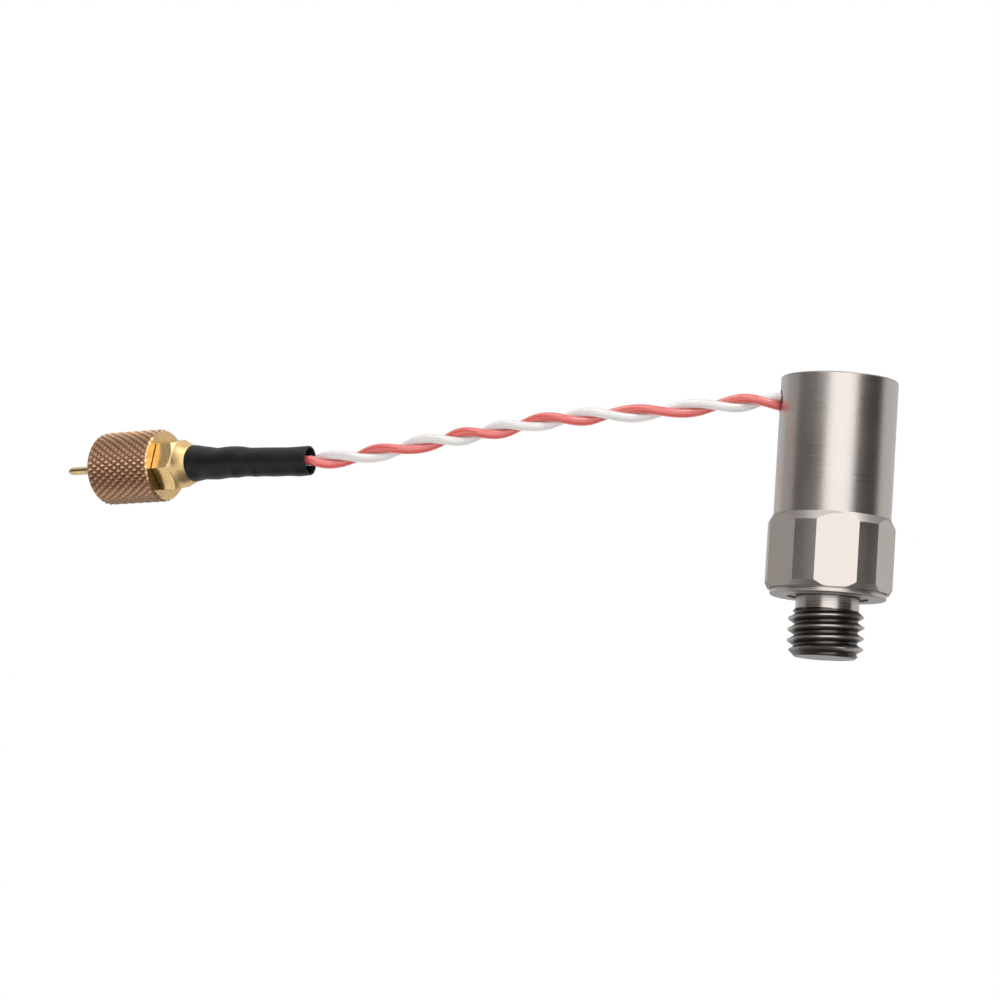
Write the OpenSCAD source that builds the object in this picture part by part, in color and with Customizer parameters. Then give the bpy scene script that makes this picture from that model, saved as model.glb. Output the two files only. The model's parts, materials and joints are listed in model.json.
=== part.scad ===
// Stud-mounted vibration sensor with a short twisted pigtail and a miniature coaxial plug.
// Millimetres. The origin is the centre of the seat face, +Z runs up the sensor's axis,
// and the wires leave the case towards -X.

/* [Case] */
// Outside diameter of the round case
case_d = 9.8; // [9.6:0.1:9.9]
// Height of the case above its weld
case_h = 11.6; // [11.2:0.1:14]
// Thickness of the case's side wall
case_wall = 0.7; // [0.6:0.05:0.8]
// Thickness of the case's closed top
case_top = 0.8; // [0.6:0.1:1]
// Edge break round the top of the case
case_edge = 0.15; // [0.05:0.05:0.4]

/* [Base] */
// Width of the hexagon across its flats
hex_af = 10; // [9.9:0.05:10.4]
// Diameter that the hexagon's corners are turned to
hex_corner_d = 10.6; // [10.5:0.05:11]
// Height of the hexagon
hex_h = 6.2; // [4:0.1:8]
// Height of the cone that leads from the hexagon's corners to the case
hex_top_chamfer = 0.75; // [0.3:0.05:1.2]
// Height of the chamfer under the hexagon
hex_foot_chamfer = 0.45; // [0.2:0.05:0.8]
// Diameter of the thin collar that makes the seat
collar_d = 9.7; // [9:0.1:9.9]
// Height of the collar
collar_h = 0.42; // [0.3:0.02:1]
// Height of the fine groove between the collar and the hexagon
groove_h = 0.08; // [0.05:0.01:0.2]
// Depth of the fine groove
groove_depth = 0.12; // [0.05:0.01:0.3]
// Height of the spigot that centres the case
spigot_h = 1; // [0.6:0.1:1.5]

/* [Stud] */
// Major diameter of the stud's thread
stud_d = 6.35; // [5:0.05:8]
// Length of the stud below the seat
stud_len = 5; // [4:0.1:8]
// Diameter of the relief neck under the seat
neck_d = 5.3; // [4:0.1:5.8]
// Length of the relief neck
neck_len = 1.05; // [0.6:0.05:2]
// Depth of the shallow undercut that frees the seat round the stud
undercut_h = 0.12; // [0.05:0.01:0.25]
// Radial room between the stud's thread and the seat's inner edge
undercut_room = 0.2; // [0.1:0.05:0.6]
// Chamfer at the stud's end
stud_chamfer = 0.65; // [0.2:0.05:0.8]

/* [Sensing element] */
// Diameter of the clamping post
post_d = 2; // [1.6:0.1:2.2]
// Wall of the insulating sleeve on the post
sleeve_wall = 0.25; // [0.15:0.05:0.4]
// Radial room between the clamped stack and the tube round it, where the lead runs
stack_room = 0.6; // [0.5:0.05:0.9]
// Thickness of the isolation disc
isolator_t = 0.5; // [0.3:0.05:0.8]
// Thickness of each ceramic ring
ceramic_t = 0.8; // [0.5:0.05:1]
// Thickness of the centre electrode
electrode_t = 0.15; // [0.1:0.01:0.3]
// Free height of the spring washer
washer_h = 0.35; // [0.3:0.01:0.5]
// Sheet thickness of the spring washer
washer_t = 0.2; // [0.1:0.01:0.25]
// Width of the preload nut across its flats
preload_af = 4; // [3.6:0.1:4.5]
// Height of the preload nut
preload_h = 1; // [0.8:0.1:1.4]
// Length of post that shows above the preload nut
post_show = 0.2; // [0.1:0.05:0.4]

/* [Amplifier] */
// Wall of the insulating tube that carries the board
carrier_wall = 0.38; // [0.25:0.01:0.45]
// Room between the post's end and the board
board_room = 0.5; // [0.3:0.05:0.8]
// Thickness of the circuit board
board_t = 0.6; // [0.4:0.05:0.8]
// Room between the board and the wires' bush above it
board_clear = 0.25; // [0.15:0.05:0.4]
// Diameter of the lead from the electrode to the board
lead_d = 0.3; // [0.2:0.02:0.34]
// Diameter of the two terminal posts
terminal_d = 0.5; // [0.3:0.05:0.7]
// Distance of each terminal post from the middle
terminal_y = 0.9; // [0.8:0.05:1.2]
// Distance of the terminal posts from the middle, towards the wires
terminal_back = 1.2; // [1:0.05:1.5]
// Length of terminal post above its wire's middle
terminal_over = 0.3; // [0.1:0.05:0.5]
// Length of the amplifier chip
chip_l = 2.2; // [1.6:0.1:2.6]
// Width of the amplifier chip
chip_w = 1.8; // [1.4:0.1:2.2]
// Height of the amplifier chip
chip_h = 0.6; // [0.4:0.05:0.8]
// Distance of the amplifier chip from the middle
chip_x = 0.2; // [0:0.1:0.5]
// Length of each capacitor
cap_l = 1; // [0.8:0.1:1.2]
// Width of each capacitor
cap_w = 0.5; // [0.4:0.05:0.8]
// Height of each capacitor
cap_h = 0.4; // [0.3:0.05:0.6]
// Room between the chip and each capacitor
cap_room = 0.6; // [0.3:0.05:0.8]

/* [Cable exit] */
// Height from the wires' exit to the top of the case
exit_drop = 2.1; // [1.9:0.05:2.3]
// Diameter of the hole in the case
exit_d = 2; // [1.95:0.05:2.6]
// How far the bush reaches into the case
bush_reach = 0.3; // [0.1:0.05:0.5]

/* [Wires] */
// Outside diameter of each wire
wire_d = 0.82; // [0.7:0.01:0.84]
// Distance of each wire's middle from the middle of the twisted pair
twist_r = 0.5; // [0.48:0.01:0.55]
// Distance of each wire's middle from the middle of the exit
exit_r = 0.43; // [0.42:0.01:0.45]

/* [Heat shrink] */
// Outside diameter at the open end
shrink_open_d = 2.5; // [2.45:0.05:2.8]
// Outside diameter over the plug's tail
shrink_tail_d = 2.75; // [2.7:0.05:3]
// Outside diameter against the hexagon
shrink_end_d = 3.2; // [2.8:0.05:3.6]

/* [Plug] */
// Outside diameter of the coupling nut, over the tips of its knurl
nut_d = 6.35; // [5.8:0.05:7]
// Length of the coupling nut
nut_len = 6.45; // [5:0.05:8]
// Width of one diamond of the knurl, round the nut
knurl_w = 0.59; // [0.5:0.01:0.9]
// Length of one diamond of the knurl, along the nut
knurl_l = 0.86; // [0.6:0.01:1.4]
// Depth of the knurl's grooves
knurl_depth = 0.2; // [0.1:0.01:0.3]
// Bore of the coupling nut at its thread's crests
nut_bore = 4.05; // [4:0.05:4.4]
// Thickness of the lip at the rear of the coupling nut
lip_t = 1; // [0.6:0.1:1.5]
// Width of the plug's hexagon across its flats
plug_af = 4.05; // [3.9:0.05:4.5]
// Length of the plug's hexagon
plug_hex_len = 2.89; // [2:0.01:4]
// Length of the round boss at the rear of the plug's hexagon
plug_boss = 1.1; // [0.6:0.05:1.4]
// Diameter of that boss
plug_boss_d = 3.96; // [3.6:0.02:4]
// Diameter of the body's neck inside the hexagon and the lip
plug_neck_d = 3; // [2.6:0.05:3.2]
// Diameter of the body's flange inside the nut
flange_d = 3.9; // [3.6:0.05:3.96]
// Thickness of the flange
flange_t = 0.8; // [0.5:0.1:1.2]
// Diameter of the body's front tube
front_d = 3.2; // [2.8:0.1:3.6]
// Distance of the front tube's end behind the nut's mouth
front_back = 1.4; // [0.8:0.1:2]
// Diameter of the body's tail under the heat shrink
tail_d = 2.1; // [2:0.05:2.2]
// Length of the body's tail
tail_len = 4; // [3.2:0.1:4.5]
// Bore of the tail
tail_bore = 1.5; // [1.45:0.05:1.6]
// Diameter of the plug's insulator
insulator_d = 1.9; // [1.8:0.05:2.2]
// Diameter of the centre pin's free end
pin_d = 0.7; // [0.4:0.02:0.72]
// Diameter of the centre pin inside the plug
pin_root_d = 0.8; // [0.74:0.02:0.86]
// Length of the taper from the pin's root to its free end
pin_taper = 1; // [0.5:0.1:1.2]
// Length of pin that stands out past the nut
pin_show = 4.15; // [3:0.05:6]
// Diameter of the solder cup at the rear of the pin
cup_d = 0.9; // [0.88:0.02:1.2]
// Length of the solder cup
cup_len = 1.2; // [0.8:0.1:1.6]

/* [Clearances] */
// Radial room of the coupling nut on the body's neck
spin_fit = 0.03; // [0.01:0.01:0.06]
// Room between the coupling nut and its neighbours along the axis
spin_gap = 0.06; // [0.04:0.01:0.2]
// Radial room between pieces that are pressed or slid together
fit = 0.02; // [0.01:0.005:0.04]
// Room between a wire and what it passes through or ends on
wire_fit = 0.04; // [0.02:0.01:0.06]

/* [Hidden] */
$fn = 96;

// A cut that starts or ends in the air runs on by this much
over = 1;

// Heights and radii of the turned base, upwards from the seat
hex_z = collar_h + groove_h;
case_z = hex_z + hex_h;
top_z = case_z + case_h;
spigot_z = case_z + spigot_h;
case_r = case_d / 2;
case_ir = case_r - case_wall;
spigot_r = case_ir - fit;
undercut_r = stud_d / 2 + undercut_room;

// The wires' exit in the case's wall, and the inside of the case that leads to it
exit_z = top_z - exit_drop;
exit_at = [-case_r, 0, exit_z];
lead_in_room = 0.2;
lead_in_x = -case_ir + bush_reach + lead_in_room;
slot_r = wire_d / 2 + wire_fit;

// The board hangs below the exit, and its tube stands on the spigot
board_top = exit_z - exit_d / 2 - board_clear;
board_z = board_top - board_t;
carrier_r = case_ir - fit;
carrier_ir = carrier_r - carrier_wall;

// The clamped stack, upwards from the spigot: the mass takes the height that the rest leaves
stack_r = carrier_ir - stack_room;
lower_z = spigot_z + isolator_t;
electrode_z = lower_z + ceramic_t;
upper_z = electrode_z + electrode_t;
mass_z = upper_z + ceramic_t;
post_z = board_z - board_room;
preload_z = post_z - post_show - preload_h;
washer_z = preload_z - washer_h;
post_sleeve_r = post_d / 2 + fit + sleeve_wall;
stack_ir = post_sleeve_r + fit;
lead_r = (stack_r + carrier_ir) / 2;
tab_w = 3 * lead_d;
tab_room = 0.05;

// The pair's route from the exit, in millimetres from it. Each point is a quarter turn of the
// twist, so its spacing is also the lay of the hand-twisted wires.
PAIR = [[0, 0, 0], [-1.7, 0, -0.1], [-3.5, 0, -0.4], [-5.5, 0, -0.75], [-7.7, 0, -1.15],
        [-10, 0.1, -1.55], [-12.2, 0.15, -1.85], [-14.5, 0.25, -2.1], [-16.3, 0.35, -2.4],
        [-18.1, 0.45, -2.7], [-19.9, 0.6, -3.05], [-21.7, 0.8, -3.5], [-23.3, 1, -3.9],
        [-24.9, 1.2, -4.3], [-26.5, 1.45, -4.65], [-28, 1.75, -5], [-29.9, 2.1, -5.45],
        [-31.7, 2.5, -5.95], [-33.6, 2.95, -6.35], [-35.4, 3.5, -6.75], [-37.4, 4.15, -7],
        [-38.9, 4.65, -7.1]];
// The same route goes on inside the heat shrink, from its open end to the plug's tail
UNDER_SHRINK = [[-40, 5.1, -7.15], [-42.2, 6, -7.2], [-44.4, 7, -7.2]];
// Middle of the coupling nut's rear face, from the exit, and the way that the plug points
plug_offset = [-51.9, 11.4, -7.5];
plug_yaw = 31;
plug_pitch = 2.5;
plug_at = exit_at + plug_offset;
plug_dir = [-cos(plug_pitch) * cos(plug_yaw), cos(plug_pitch) * sin(plug_yaw), -sin(plug_pitch)];

// Places along the plug, forwards from the coupling nut's rear face
plug_hex_rear = -spin_gap - plug_hex_len;
tail_z = plug_hex_rear - tail_len;
flange_z = lip_t + spin_gap;
front_z = nut_len - front_back;
cup_z = plug_hex_rear - fit - cup_len;
plug_corner_d = plug_af / cos(30);
plug_hex_turn = 15;
lip_r = plug_neck_d / 2 + spin_fit;
wire_end_gap = 0.08;

// Whole route: the pair, then the stretch under the heat shrink, then the plug's own axis
PAIR_END = len(PAIR) - 1;
ROUTE = concat([for (p = concat(PAIR, UNDER_SHRINK)) exit_at + p],
               [plug_point(tail_z), plug_point(plug_hex_rear)]);
TAIL_POINT = len(ROUTE) - 2;
// Rings on each sixth of a turn, then a few where the wires run straight under the heat shrink
ring_step = 2 / 3;
TWIST_STEPS = concat([for (t = [0:ring_step:PAIR_END - ring_step / 2]) t], [PAIR_END]);
STRAIGHT_STEPS = [PAIR_END + 1.5, PAIR_END + 3];
tail_red_r = 0.3;
tail_white_r = tail_red_r - wire_d - wire_fit;
wire_sides = 8;
shrink_sides = 12;

function unit(v) = v / norm(v);
function plug_point(z) = plug_at + z * plug_dir;

// A smooth curve through the route's points, with t counted in points
function route_at(t) =
    let (last = len(ROUTE) - 1, i = max(0, min(last - 1, floor(t))), u = t - i)
    let (a = ROUTE[max(0, i - 1)], b = ROUTE[i], c = ROUTE[i + 1], d = ROUTE[min(last, i + 2)])
    b + u / 2 * (c - a + u * (2 * a - 5 * b + 4 * c - d + u * (3 * b - a - 3 * c + d)));
function route_dir(t) = unit(route_at(t + 0.1) - route_at(max(0, t - 0.1)));
// Towards the viewer and up, square to the route
function route_front(t) = unit(cross([0, 0, 1], route_dir(t)));
function route_up(t) = cross(route_dir(t), route_front(t));
// A wire starts under the pair's middle and turns a quarter for each point of the route
function twist_dir(t) =
    let (a = 90 * min(t, PAIR_END))
    -cos(a) * route_up(t) + sin(a) * route_front(t);
function beside(t, r) = route_at(t) + r * twist_dir(t);

// Middle line of one wire: side is 1 for the wire that leaves low, and -1 for the other
function wire_line(side, tail_r) = concat(
    [[-terminal_back - terminal_d / 2 - wire_end_gap, -side * terminal_y, exit_z - side * exit_r]],
    [[lead_in_x, 0, exit_z - side * exit_r]],
    [for (t = TWIST_STEPS) beside(t, side * (t == 0 ? exit_r : twist_r))],
    [for (t = STRAIGHT_STEPS) beside(t, side * twist_r)],
    [plug_point(tail_z - wire_end_gap) + tail_r * twist_dir(TAIL_POINT)]);
red_line = concat(wire_line(1, tail_red_r),
                  [plug_point(cup_z - wire_end_gap) + tail_red_r * twist_dir(TAIL_POINT)]);
white_line = wire_line(-1, tail_white_r);

// One ring of points round a place on a line, square to the line there
function line_dir(line, i) = unit(line[min(len(line) - 1, i + 1)] - line[max(0, i - 1)]);
function ring(line, i, r, sides) =
    let (d = line_dir(line, i), s = unit(cross([0, 0, 1], d)), n = cross(d, s))
    [for (k = [0:sides - 1]) line[i] + r * (cos(360 * k / sides) * s + sin(360 * k / sides) * n)];
// Triangles between ring a and ring b, whose points start at those indexes
function band(a, b, sides) = [for (k = [0:sides - 1]) let (m = (k + 1) % sides)
    each [[a + k, b + k, b + m], [a + k, b + m, a + m]]];

// A solid tube along a line
module tube(line, d, sides) {
    last = len(line) - 1;
    points = [for (i = [0:last]) each ring(line, i, d / 2, sides)];
    faces = concat([for (i = [0:last - 1]) each band(i * sides, (i + 1) * sides, sides)],
                   [[for (k = [0:sides - 1]) k]],
                   [[for (k = [sides - 1:-1:0]) last * sides + k]]);
    polyhedron(points, faces);
}

// A hollow tube along a line, with its own outer and inner radius at each point
module hollow_tube(line, outer, inner, sides) {
    last = len(line) - 1;
    core = (last + 1) * sides;
    points = concat([for (i = [0:last]) each ring(line, i, outer[i], sides)],
                    [for (i = [0:last]) each ring(line, i, inner[i], sides)]);
    faces = concat(
        [for (i = [0:last - 1]) each band(i * sides, (i + 1) * sides, sides)],
        [for (i = [0:last - 1]) each band(core + (i + 1) * sides, core + i * sides, sides)],
        band(core, 0, sides),
        band(last * sides, core + last * sides, sides));
    polyhedron(points, faces);
}

// A plain ring standing on the height z
module washer(z, h, r_out, r_in) {
    translate([0, 0, z])
        difference() {
            cylinder(r = r_out, h = h);
            translate([0, 0, -over]) cylinder(r = r_in, h = h + 2 * over);
        }
}

// Moves what is drawn along +Z from the origin to the plug's axis
module at_plug() {
    translate(plug_at) rotate([0, 90 + plug_pitch, 180 - plug_yaw]) children();
}

// Turned from one bar: stud, relief neck, seat collar, hexagon with turned corners, spigot and post
module base() {
    foot_r = hex_corner_d / 2 - hex_foot_chamfer / 2;
    color([0.72, 0.71, 0.69])
        intersection() {
            rotate_extrude()
                polygon([[0, -stud_len], [stud_d / 2 - stud_chamfer, -stud_len],
                         [stud_d / 2, stud_chamfer - stud_len],
                         [stud_d / 2, (neck_d - stud_d) / 2 - neck_len],
                         [neck_d / 2, -neck_len], [neck_d / 2, undercut_h], [undercut_r, undercut_h],
                         [undercut_r, 0], [collar_d / 2, 0], [collar_d / 2, collar_h],
                         [collar_d / 2 - groove_depth, collar_h],
                         [collar_d / 2 - groove_depth, hex_z], [foot_r, hex_z],
                         [hex_corner_d / 2, hex_z + hex_foot_chamfer],
                         [hex_corner_d / 2, case_z - hex_top_chamfer], [case_r, case_z],
                         [spigot_r, case_z], [spigot_r, spigot_z], [post_d / 2, spigot_z],
                         [post_d / 2, post_z - post_show], [post_d / 2 - post_show, post_z],
                         [0, post_z]]);
            translate([0, 0, -stud_len - over])
                cylinder(d = hex_af / cos(30), h = stud_len + post_z + 2 * over, $fn = 6);
        }
}

// Deep-drawn cup with a closed top, welded to the base, with the wires' hole in its side
module case() {
    color([0.75, 0.74, 0.72])
        difference() {
            rotate_extrude()
                polygon([[case_ir, case_z], [case_r, case_z], [case_r, top_z - case_edge],
                         [case_r - case_edge, top_z], [0, top_z], [0, top_z - case_top],
                         [case_ir, top_z - case_top]]);
            translate([-case_r - over, 0, exit_z])
                rotate([0, 90, 0]) cylinder(d = exit_d, h = case_wall + 2 * over);
        }
}

// Black bush that fills the hole and follows the case's round wall, with a slot for two wires
module exit_bush() {
    slot_len = case_r + over;
    color([0.08, 0.08, 0.08])
        difference() {
            intersection() {
                translate([-case_r - over, 0, exit_z])
                    rotate([0, 90, 0]) cylinder(d = exit_d - 2 * fit, h = case_r);
                washer(exit_z - exit_d, 2 * exit_d, case_r, case_ir - bush_reach);
            }
            translate([-slot_len, 0, exit_z]) {
                for (side = [-1, 1])
                    translate([0, 0, side * exit_r])
                        rotate([0, 90, 0]) cylinder(r = slot_r, h = slot_len);
                translate([0, -slot_r, -exit_r]) cube([slot_len, 2 * slot_r, 2 * exit_r]);
            }
        }
}

// Ceramic washer that keeps the element apart from the base
module isolation_disc() {
    color([0.93, 0.92, 0.88]) washer(spigot_z, isolator_t, stack_r, stack_ir);
}

// First of the two piezoelectric ceramic rings
module lower_piezo_ring() {
    color([0.78, 0.72, 0.55]) washer(lower_z, ceramic_t, stack_r, stack_ir);
}

// Thin brass ring between the ceramics, with a tab for the lead
module centre_electrode() {
    color([0.85, 0.68, 0.35]) {
        difference() {
            union() {
                translate([0, 0, electrode_z]) cylinder(r = stack_r, h = electrode_t);
                translate([0, -tab_w / 2, electrode_z])
                    cube([carrier_ir - tab_room, tab_w, electrode_t]);
            }
            translate([0, 0, electrode_z - over]) cylinder(r = stack_ir, h = electrode_t + 2 * over);
        }
    }
}

// Second piezoelectric ceramic ring
module upper_piezo_ring() {
    color([0.78, 0.72, 0.55]) washer(upper_z, ceramic_t, stack_r, stack_ir);
}

// Dense metal ring whose inertia loads the ceramics
module seismic_mass() {
    color([0.5, 0.5, 0.52]) washer(mass_z, washer_z - mass_z, stack_r, stack_ir);
}

// Conical spring that keeps the clamp's load
module spring_washer() {
    outer_r = preload_af / 2;
    inner_r = post_d / 2 + 2 * fit;
    color([0.6, 0.6, 0.62])
        rotate_extrude()
            polygon([[outer_r, washer_z], [outer_r, washer_z + washer_t],
                     [inner_r, washer_z + washer_h], [inner_r, washer_z + washer_h - washer_t]]);
}

// Hexagon nut that clamps the stack on the post
module preload_nut() {
    color([0.66, 0.66, 0.67])
        translate([0, 0, preload_z])
            difference() {
                cylinder(d = preload_af / cos(30), h = preload_h, $fn = 6);
                translate([0, 0, -over]) cylinder(r = post_d / 2 + fit, h = preload_h + 2 * over);
            }
}

// Insulating tube on the post, as long as the stack
module post_sleeve() {
    color([0.9, 0.55, 0.2]) washer(spigot_z, washer_z - spigot_z, post_sleeve_r, post_d / 2 + fit);
}

// Insulating tube that stands on the spigot and carries the board
module board_carrier() {
    color([0.85, 0.83, 0.75]) washer(spigot_z, board_z - spigot_z, carrier_r, carrier_ir);
}

// Round circuit board with a hole for the electrode's lead
module amplifier_board() {
    color([0.1, 0.35, 0.18])
        difference() {
            translate([0, 0, board_z]) cylinder(r = carrier_r, h = board_t);
            translate([lead_r, 0, board_z - over]) cylinder(d = lead_d + 2 * fit, h = board_t + 2 * over);
        }
}

// Amplifier chip, two small capacitors and the two terminal posts, all on the board
module board_components() {
    cap_y = chip_w / 2 + cap_room + cap_l / 2;
    color([0.15, 0.15, 0.16])
        translate([chip_x, -chip_w / 2, board_top]) cube([chip_l, chip_w, chip_h]);
    color([0.75, 0.65, 0.5])
        for (side = [-1, 1])
            translate([chip_x + chip_l / 2 - cap_w / 2, side * cap_y - cap_l / 2, board_top])
                cube([cap_w, cap_l, cap_h]);
    color([0.8, 0.68, 0.4])
        for (side = [-1, 1])
            translate([-terminal_back, side * terminal_y, board_top])
                cylinder(d = terminal_d, h = exit_z + side * exit_r + terminal_over - board_top);
}

// Straight lead from the electrode's tab, through the board
module electrode_lead() {
    color([0.82, 0.62, 0.4])
        translate([lead_r, 0, upper_z]) cylinder(d = lead_d, h = board_top + lead_d - upper_z);
}

// Signal wire, which leaves the exit below the other
module red_wire() {
    color([0.85, 0.22, 0.2]) tube(red_line, wire_d, wire_sides);
}

// Return wire, which leaves the exit on top
module white_wire() {
    color([0.95, 0.95, 0.94]) tube(white_line, wire_d, wire_sides);
}

// Shrunk sleeve from the pair to the plug's hexagon
module heat_shrink_sleeve() {
    line = concat([for (i = [PAIR_END:len(ROUTE) - 2]) ROUTE[i]],
                  [plug_point(plug_hex_rear - tail_len / 4), plug_point(plug_hex_rear - fit)]);
    round_up = 1 / cos(180 / shrink_sides);
    pair_in = (twist_r + wire_d / 2 + wire_fit) * round_up;
    tail_in = (tail_d / 2 + fit) * round_up;
    open_r = shrink_open_d / 2;
    tail_r = shrink_tail_d / 2;
    outer = [open_r, open_r, open_r, (open_r + tail_r) / 2, tail_r, tail_r, shrink_end_d / 2];
    inner = [pair_in, pair_in, pair_in, tail_in, tail_in, tail_in, tail_in];
    color([0.13, 0.13, 0.135]) hollow_tube(line, outer, inner, shrink_sides);
}

// Turned plug body: tail, neck, flange that the nut is held by, and front tube
module plug_body() {
    bore_r = insulator_d / 2 + fit;
    color([0.85, 0.68, 0.35])
        at_plug()
            rotate_extrude()
                polygon([[tail_bore / 2, tail_z], [tail_d / 2, tail_z], [tail_d / 2, plug_hex_rear],
                         [plug_neck_d / 2, plug_hex_rear], [plug_neck_d / 2, flange_z],
                         [flange_d / 2, flange_z], [flange_d / 2, flange_z + flange_t],
                         [front_d / 2, flange_z + flange_t], [front_d / 2, front_z],
                         [bore_r, front_z], [bore_r, plug_hex_rear], [tail_bore / 2, plug_hex_rear]]);
}

// Spanner hexagon pressed on the body behind the nut. A boss is turned at its rear, and the chamfer
// between the two leaves an arc on every flat.
module plug_hex() {
    boss_r = plug_boss_d / 2;
    bar_r = 0.505 * plug_corner_d;
    boss_z = plug_hex_rear + plug_boss;
    color([0.87, 0.7, 0.36])
        at_plug()
            intersection() {
                rotate_extrude()
                    polygon([[plug_neck_d / 2 + fit, plug_hex_rear], [boss_r, plug_hex_rear], [boss_r, boss_z],
                             [bar_r, boss_z + bar_r - boss_r], [bar_r, -spin_gap],
                             [plug_neck_d / 2 + fit, -spin_gap]]);
                translate([0, 0, plug_hex_rear - over])
                    rotate(plug_hex_turn)
                        cylinder(d = plug_corner_d, h = plug_hex_len + 2 * over, $fn = 6);
            }
}

// Insulating rod between the plug's body and its pin
module plug_insulator() {
    color([0.95, 0.95, 0.93])
        at_plug() washer(plug_hex_rear, front_z - plug_hex_rear, insulator_d / 2, pin_root_d / 2 + fit);
}

// Centre pin with a rounded tip and a thicker root, and a solder cup behind the insulator
module centre_pin() {
    tip_z = nut_len + pin_show;
    tip_r = pin_d / 2;
    color([0.87, 0.72, 0.42])
        at_plug() {
            translate([0, 0, cup_z]) cylinder(d = cup_d, h = cup_len);
            translate([0, 0, cup_z]) cylinder(d = pin_root_d, h = nut_len - pin_taper - cup_z);
            translate([0, 0, nut_len - pin_taper])
                cylinder(d1 = pin_root_d, d2 = pin_d, h = pin_taper);
            translate([0, 0, cup_z]) cylinder(d = pin_d, h = tip_z - tip_r - cup_z);
            translate([0, 0, tip_z - tip_r]) sphere(r = tip_r);
        }
}

// A rod with a diamond knurl: rows of pyramids whose corners are where its grooves cross. The rows
// at both ends stay as deep as the grooves, which breaks the rod's edges.
module knurled_rod() {
    count = round(PI * nut_d / knurl_w);
    rows = round(2 * nut_len / knurl_l);
    turn = 360 / count;
    row_h = nut_len / rows;
    tip_r = nut_d / 2;
    groove_r = tip_r - knurl_depth;
    function place(r, a, j) = [r * cos(a), r * sin(a), j * row_h];
    function crossing(j, i) = j * count + i % count;
    function tip(j, i) = (rows + j) * count + i;
    points = concat(
        [for (j = [0:rows], i = [0:count - 1]) place(groove_r, turn * (i + j % 2 / 2), j)],
        [for (j = [1:rows - 1], i = [0:count - 1]) place(tip_r, turn * (i + (1 + j % 2) / 2), j)]);
    pyramids = [for (j = [1:rows - 1], i = [0:count - 1])
        let (t = tip(j, i), left = crossing(j, i), right = crossing(j, i + 1))
        let (low = crossing(j - 1, i + j % 2), high = crossing(j + 1, i + j % 2))
        each [[t, left, high], [t, high, right], [t, right, low], [t, low, left]]];
    ends = [for (i = [0:count - 1])
        each [[crossing(0, i), crossing(1, i), crossing(0, i + 1)],
              [crossing(rows, i), crossing(rows, i + 1), crossing(rows - 1, i + rows % 2)]]];
    caps = [[for (i = [0:count - 1]) crossing(0, i)],
            [for (i = [count - 1:-1:0]) crossing(rows, i)]];
    polyhedron(points, concat(pyramids, ends, caps));
}

// Knurled coupling nut that spins on the plug's neck, with a lip behind the body's flange
module coupling_nut() {
    color([0.5, 0.36, 0.28])
        at_plug()
            difference() {
                knurled_rod();
                translate([0, 0, -over]) cylinder(r = lip_r, h = nut_len + 2 * over);
                translate([0, 0, lip_t]) cylinder(d = nut_bore, h = nut_len);
            }
}

base();
case();
exit_bush();
isolation_disc();
lower_piezo_ring();
centre_electrode();
upper_piezo_ring();
seismic_mass();
spring_washer();
preload_nut();
post_sleeve();
board_carrier();
amplifier_board();
board_components();
electrode_lead();
red_wire();
white_wire();
heat_shrink_sleeve();
plug_body();
plug_hex();
plug_insulator();
centre_pin();
coupling_nut();
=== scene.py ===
# %% [markdown]
# # A stud-mounted vibration sensor
# The part is a steel sensor no bigger than a fingertip, with a short pigtail of two twisted wires that
# ends in a gold plug. The solids are already there as a fixed frame, in metres. This lesson dresses
# them: the camera and the wires come first, then each piece that shows gets its fine form, and then
# its finish.

# %% Load the frame
import json
import math

import bmesh
import bpy
import numpy as np
from mathutils import Matrix, Vector


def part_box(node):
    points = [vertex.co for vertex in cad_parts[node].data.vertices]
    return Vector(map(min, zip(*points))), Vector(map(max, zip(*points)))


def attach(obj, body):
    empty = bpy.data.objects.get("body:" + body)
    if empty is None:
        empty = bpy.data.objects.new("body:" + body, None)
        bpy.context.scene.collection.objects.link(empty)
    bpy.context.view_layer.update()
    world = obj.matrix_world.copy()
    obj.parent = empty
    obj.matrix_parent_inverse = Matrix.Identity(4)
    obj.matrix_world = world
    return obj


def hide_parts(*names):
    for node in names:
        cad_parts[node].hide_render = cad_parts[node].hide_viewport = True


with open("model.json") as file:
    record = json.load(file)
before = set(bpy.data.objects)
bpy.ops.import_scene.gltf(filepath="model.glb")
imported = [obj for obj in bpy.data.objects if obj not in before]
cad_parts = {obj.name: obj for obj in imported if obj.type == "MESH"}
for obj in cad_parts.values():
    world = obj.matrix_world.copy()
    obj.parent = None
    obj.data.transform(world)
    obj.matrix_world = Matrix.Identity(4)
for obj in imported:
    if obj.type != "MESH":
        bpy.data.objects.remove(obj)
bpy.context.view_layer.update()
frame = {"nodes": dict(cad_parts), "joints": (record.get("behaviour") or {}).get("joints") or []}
MM = 0.001

# %% [markdown]
# ## The camera
# The photograph looks slightly up at the sensor through a long lens, and is tilted a little. A camera
# in Blender looks along its own -Z, so its matrix can be written straight from three directions: right,
# up and back. The sensor's seat has a known place in the picture, which fixes where the camera stands.

# %% Direction of view
FRAME_PX = 1000
FOCAL_PX = 3300.0
LOOK_UP = math.radians(7.2)
ROLL = math.radians(4.0)
SEAT_PX = (827.7, 598.0)

ahead = Vector((0, math.cos(LOOK_UP), math.sin(LOOK_UP)))
sideways = Vector((1, 0, 0))
upright = sideways.cross(ahead)
right = math.cos(ROLL) * sideways + math.sin(ROLL) * upright
up = math.cos(ROLL) * upright - math.sin(ROLL) * sideways
half_px = FRAME_PX / 2
seat_right = (SEAT_PX[0] - half_px) / FOCAL_PX
seat_up = (half_px - SEAT_PX[1]) / FOCAL_PX
ray = ahead + right * seat_right + up * seat_up
print("the seat is seen along", [round(x, 3) for x in ray])

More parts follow.
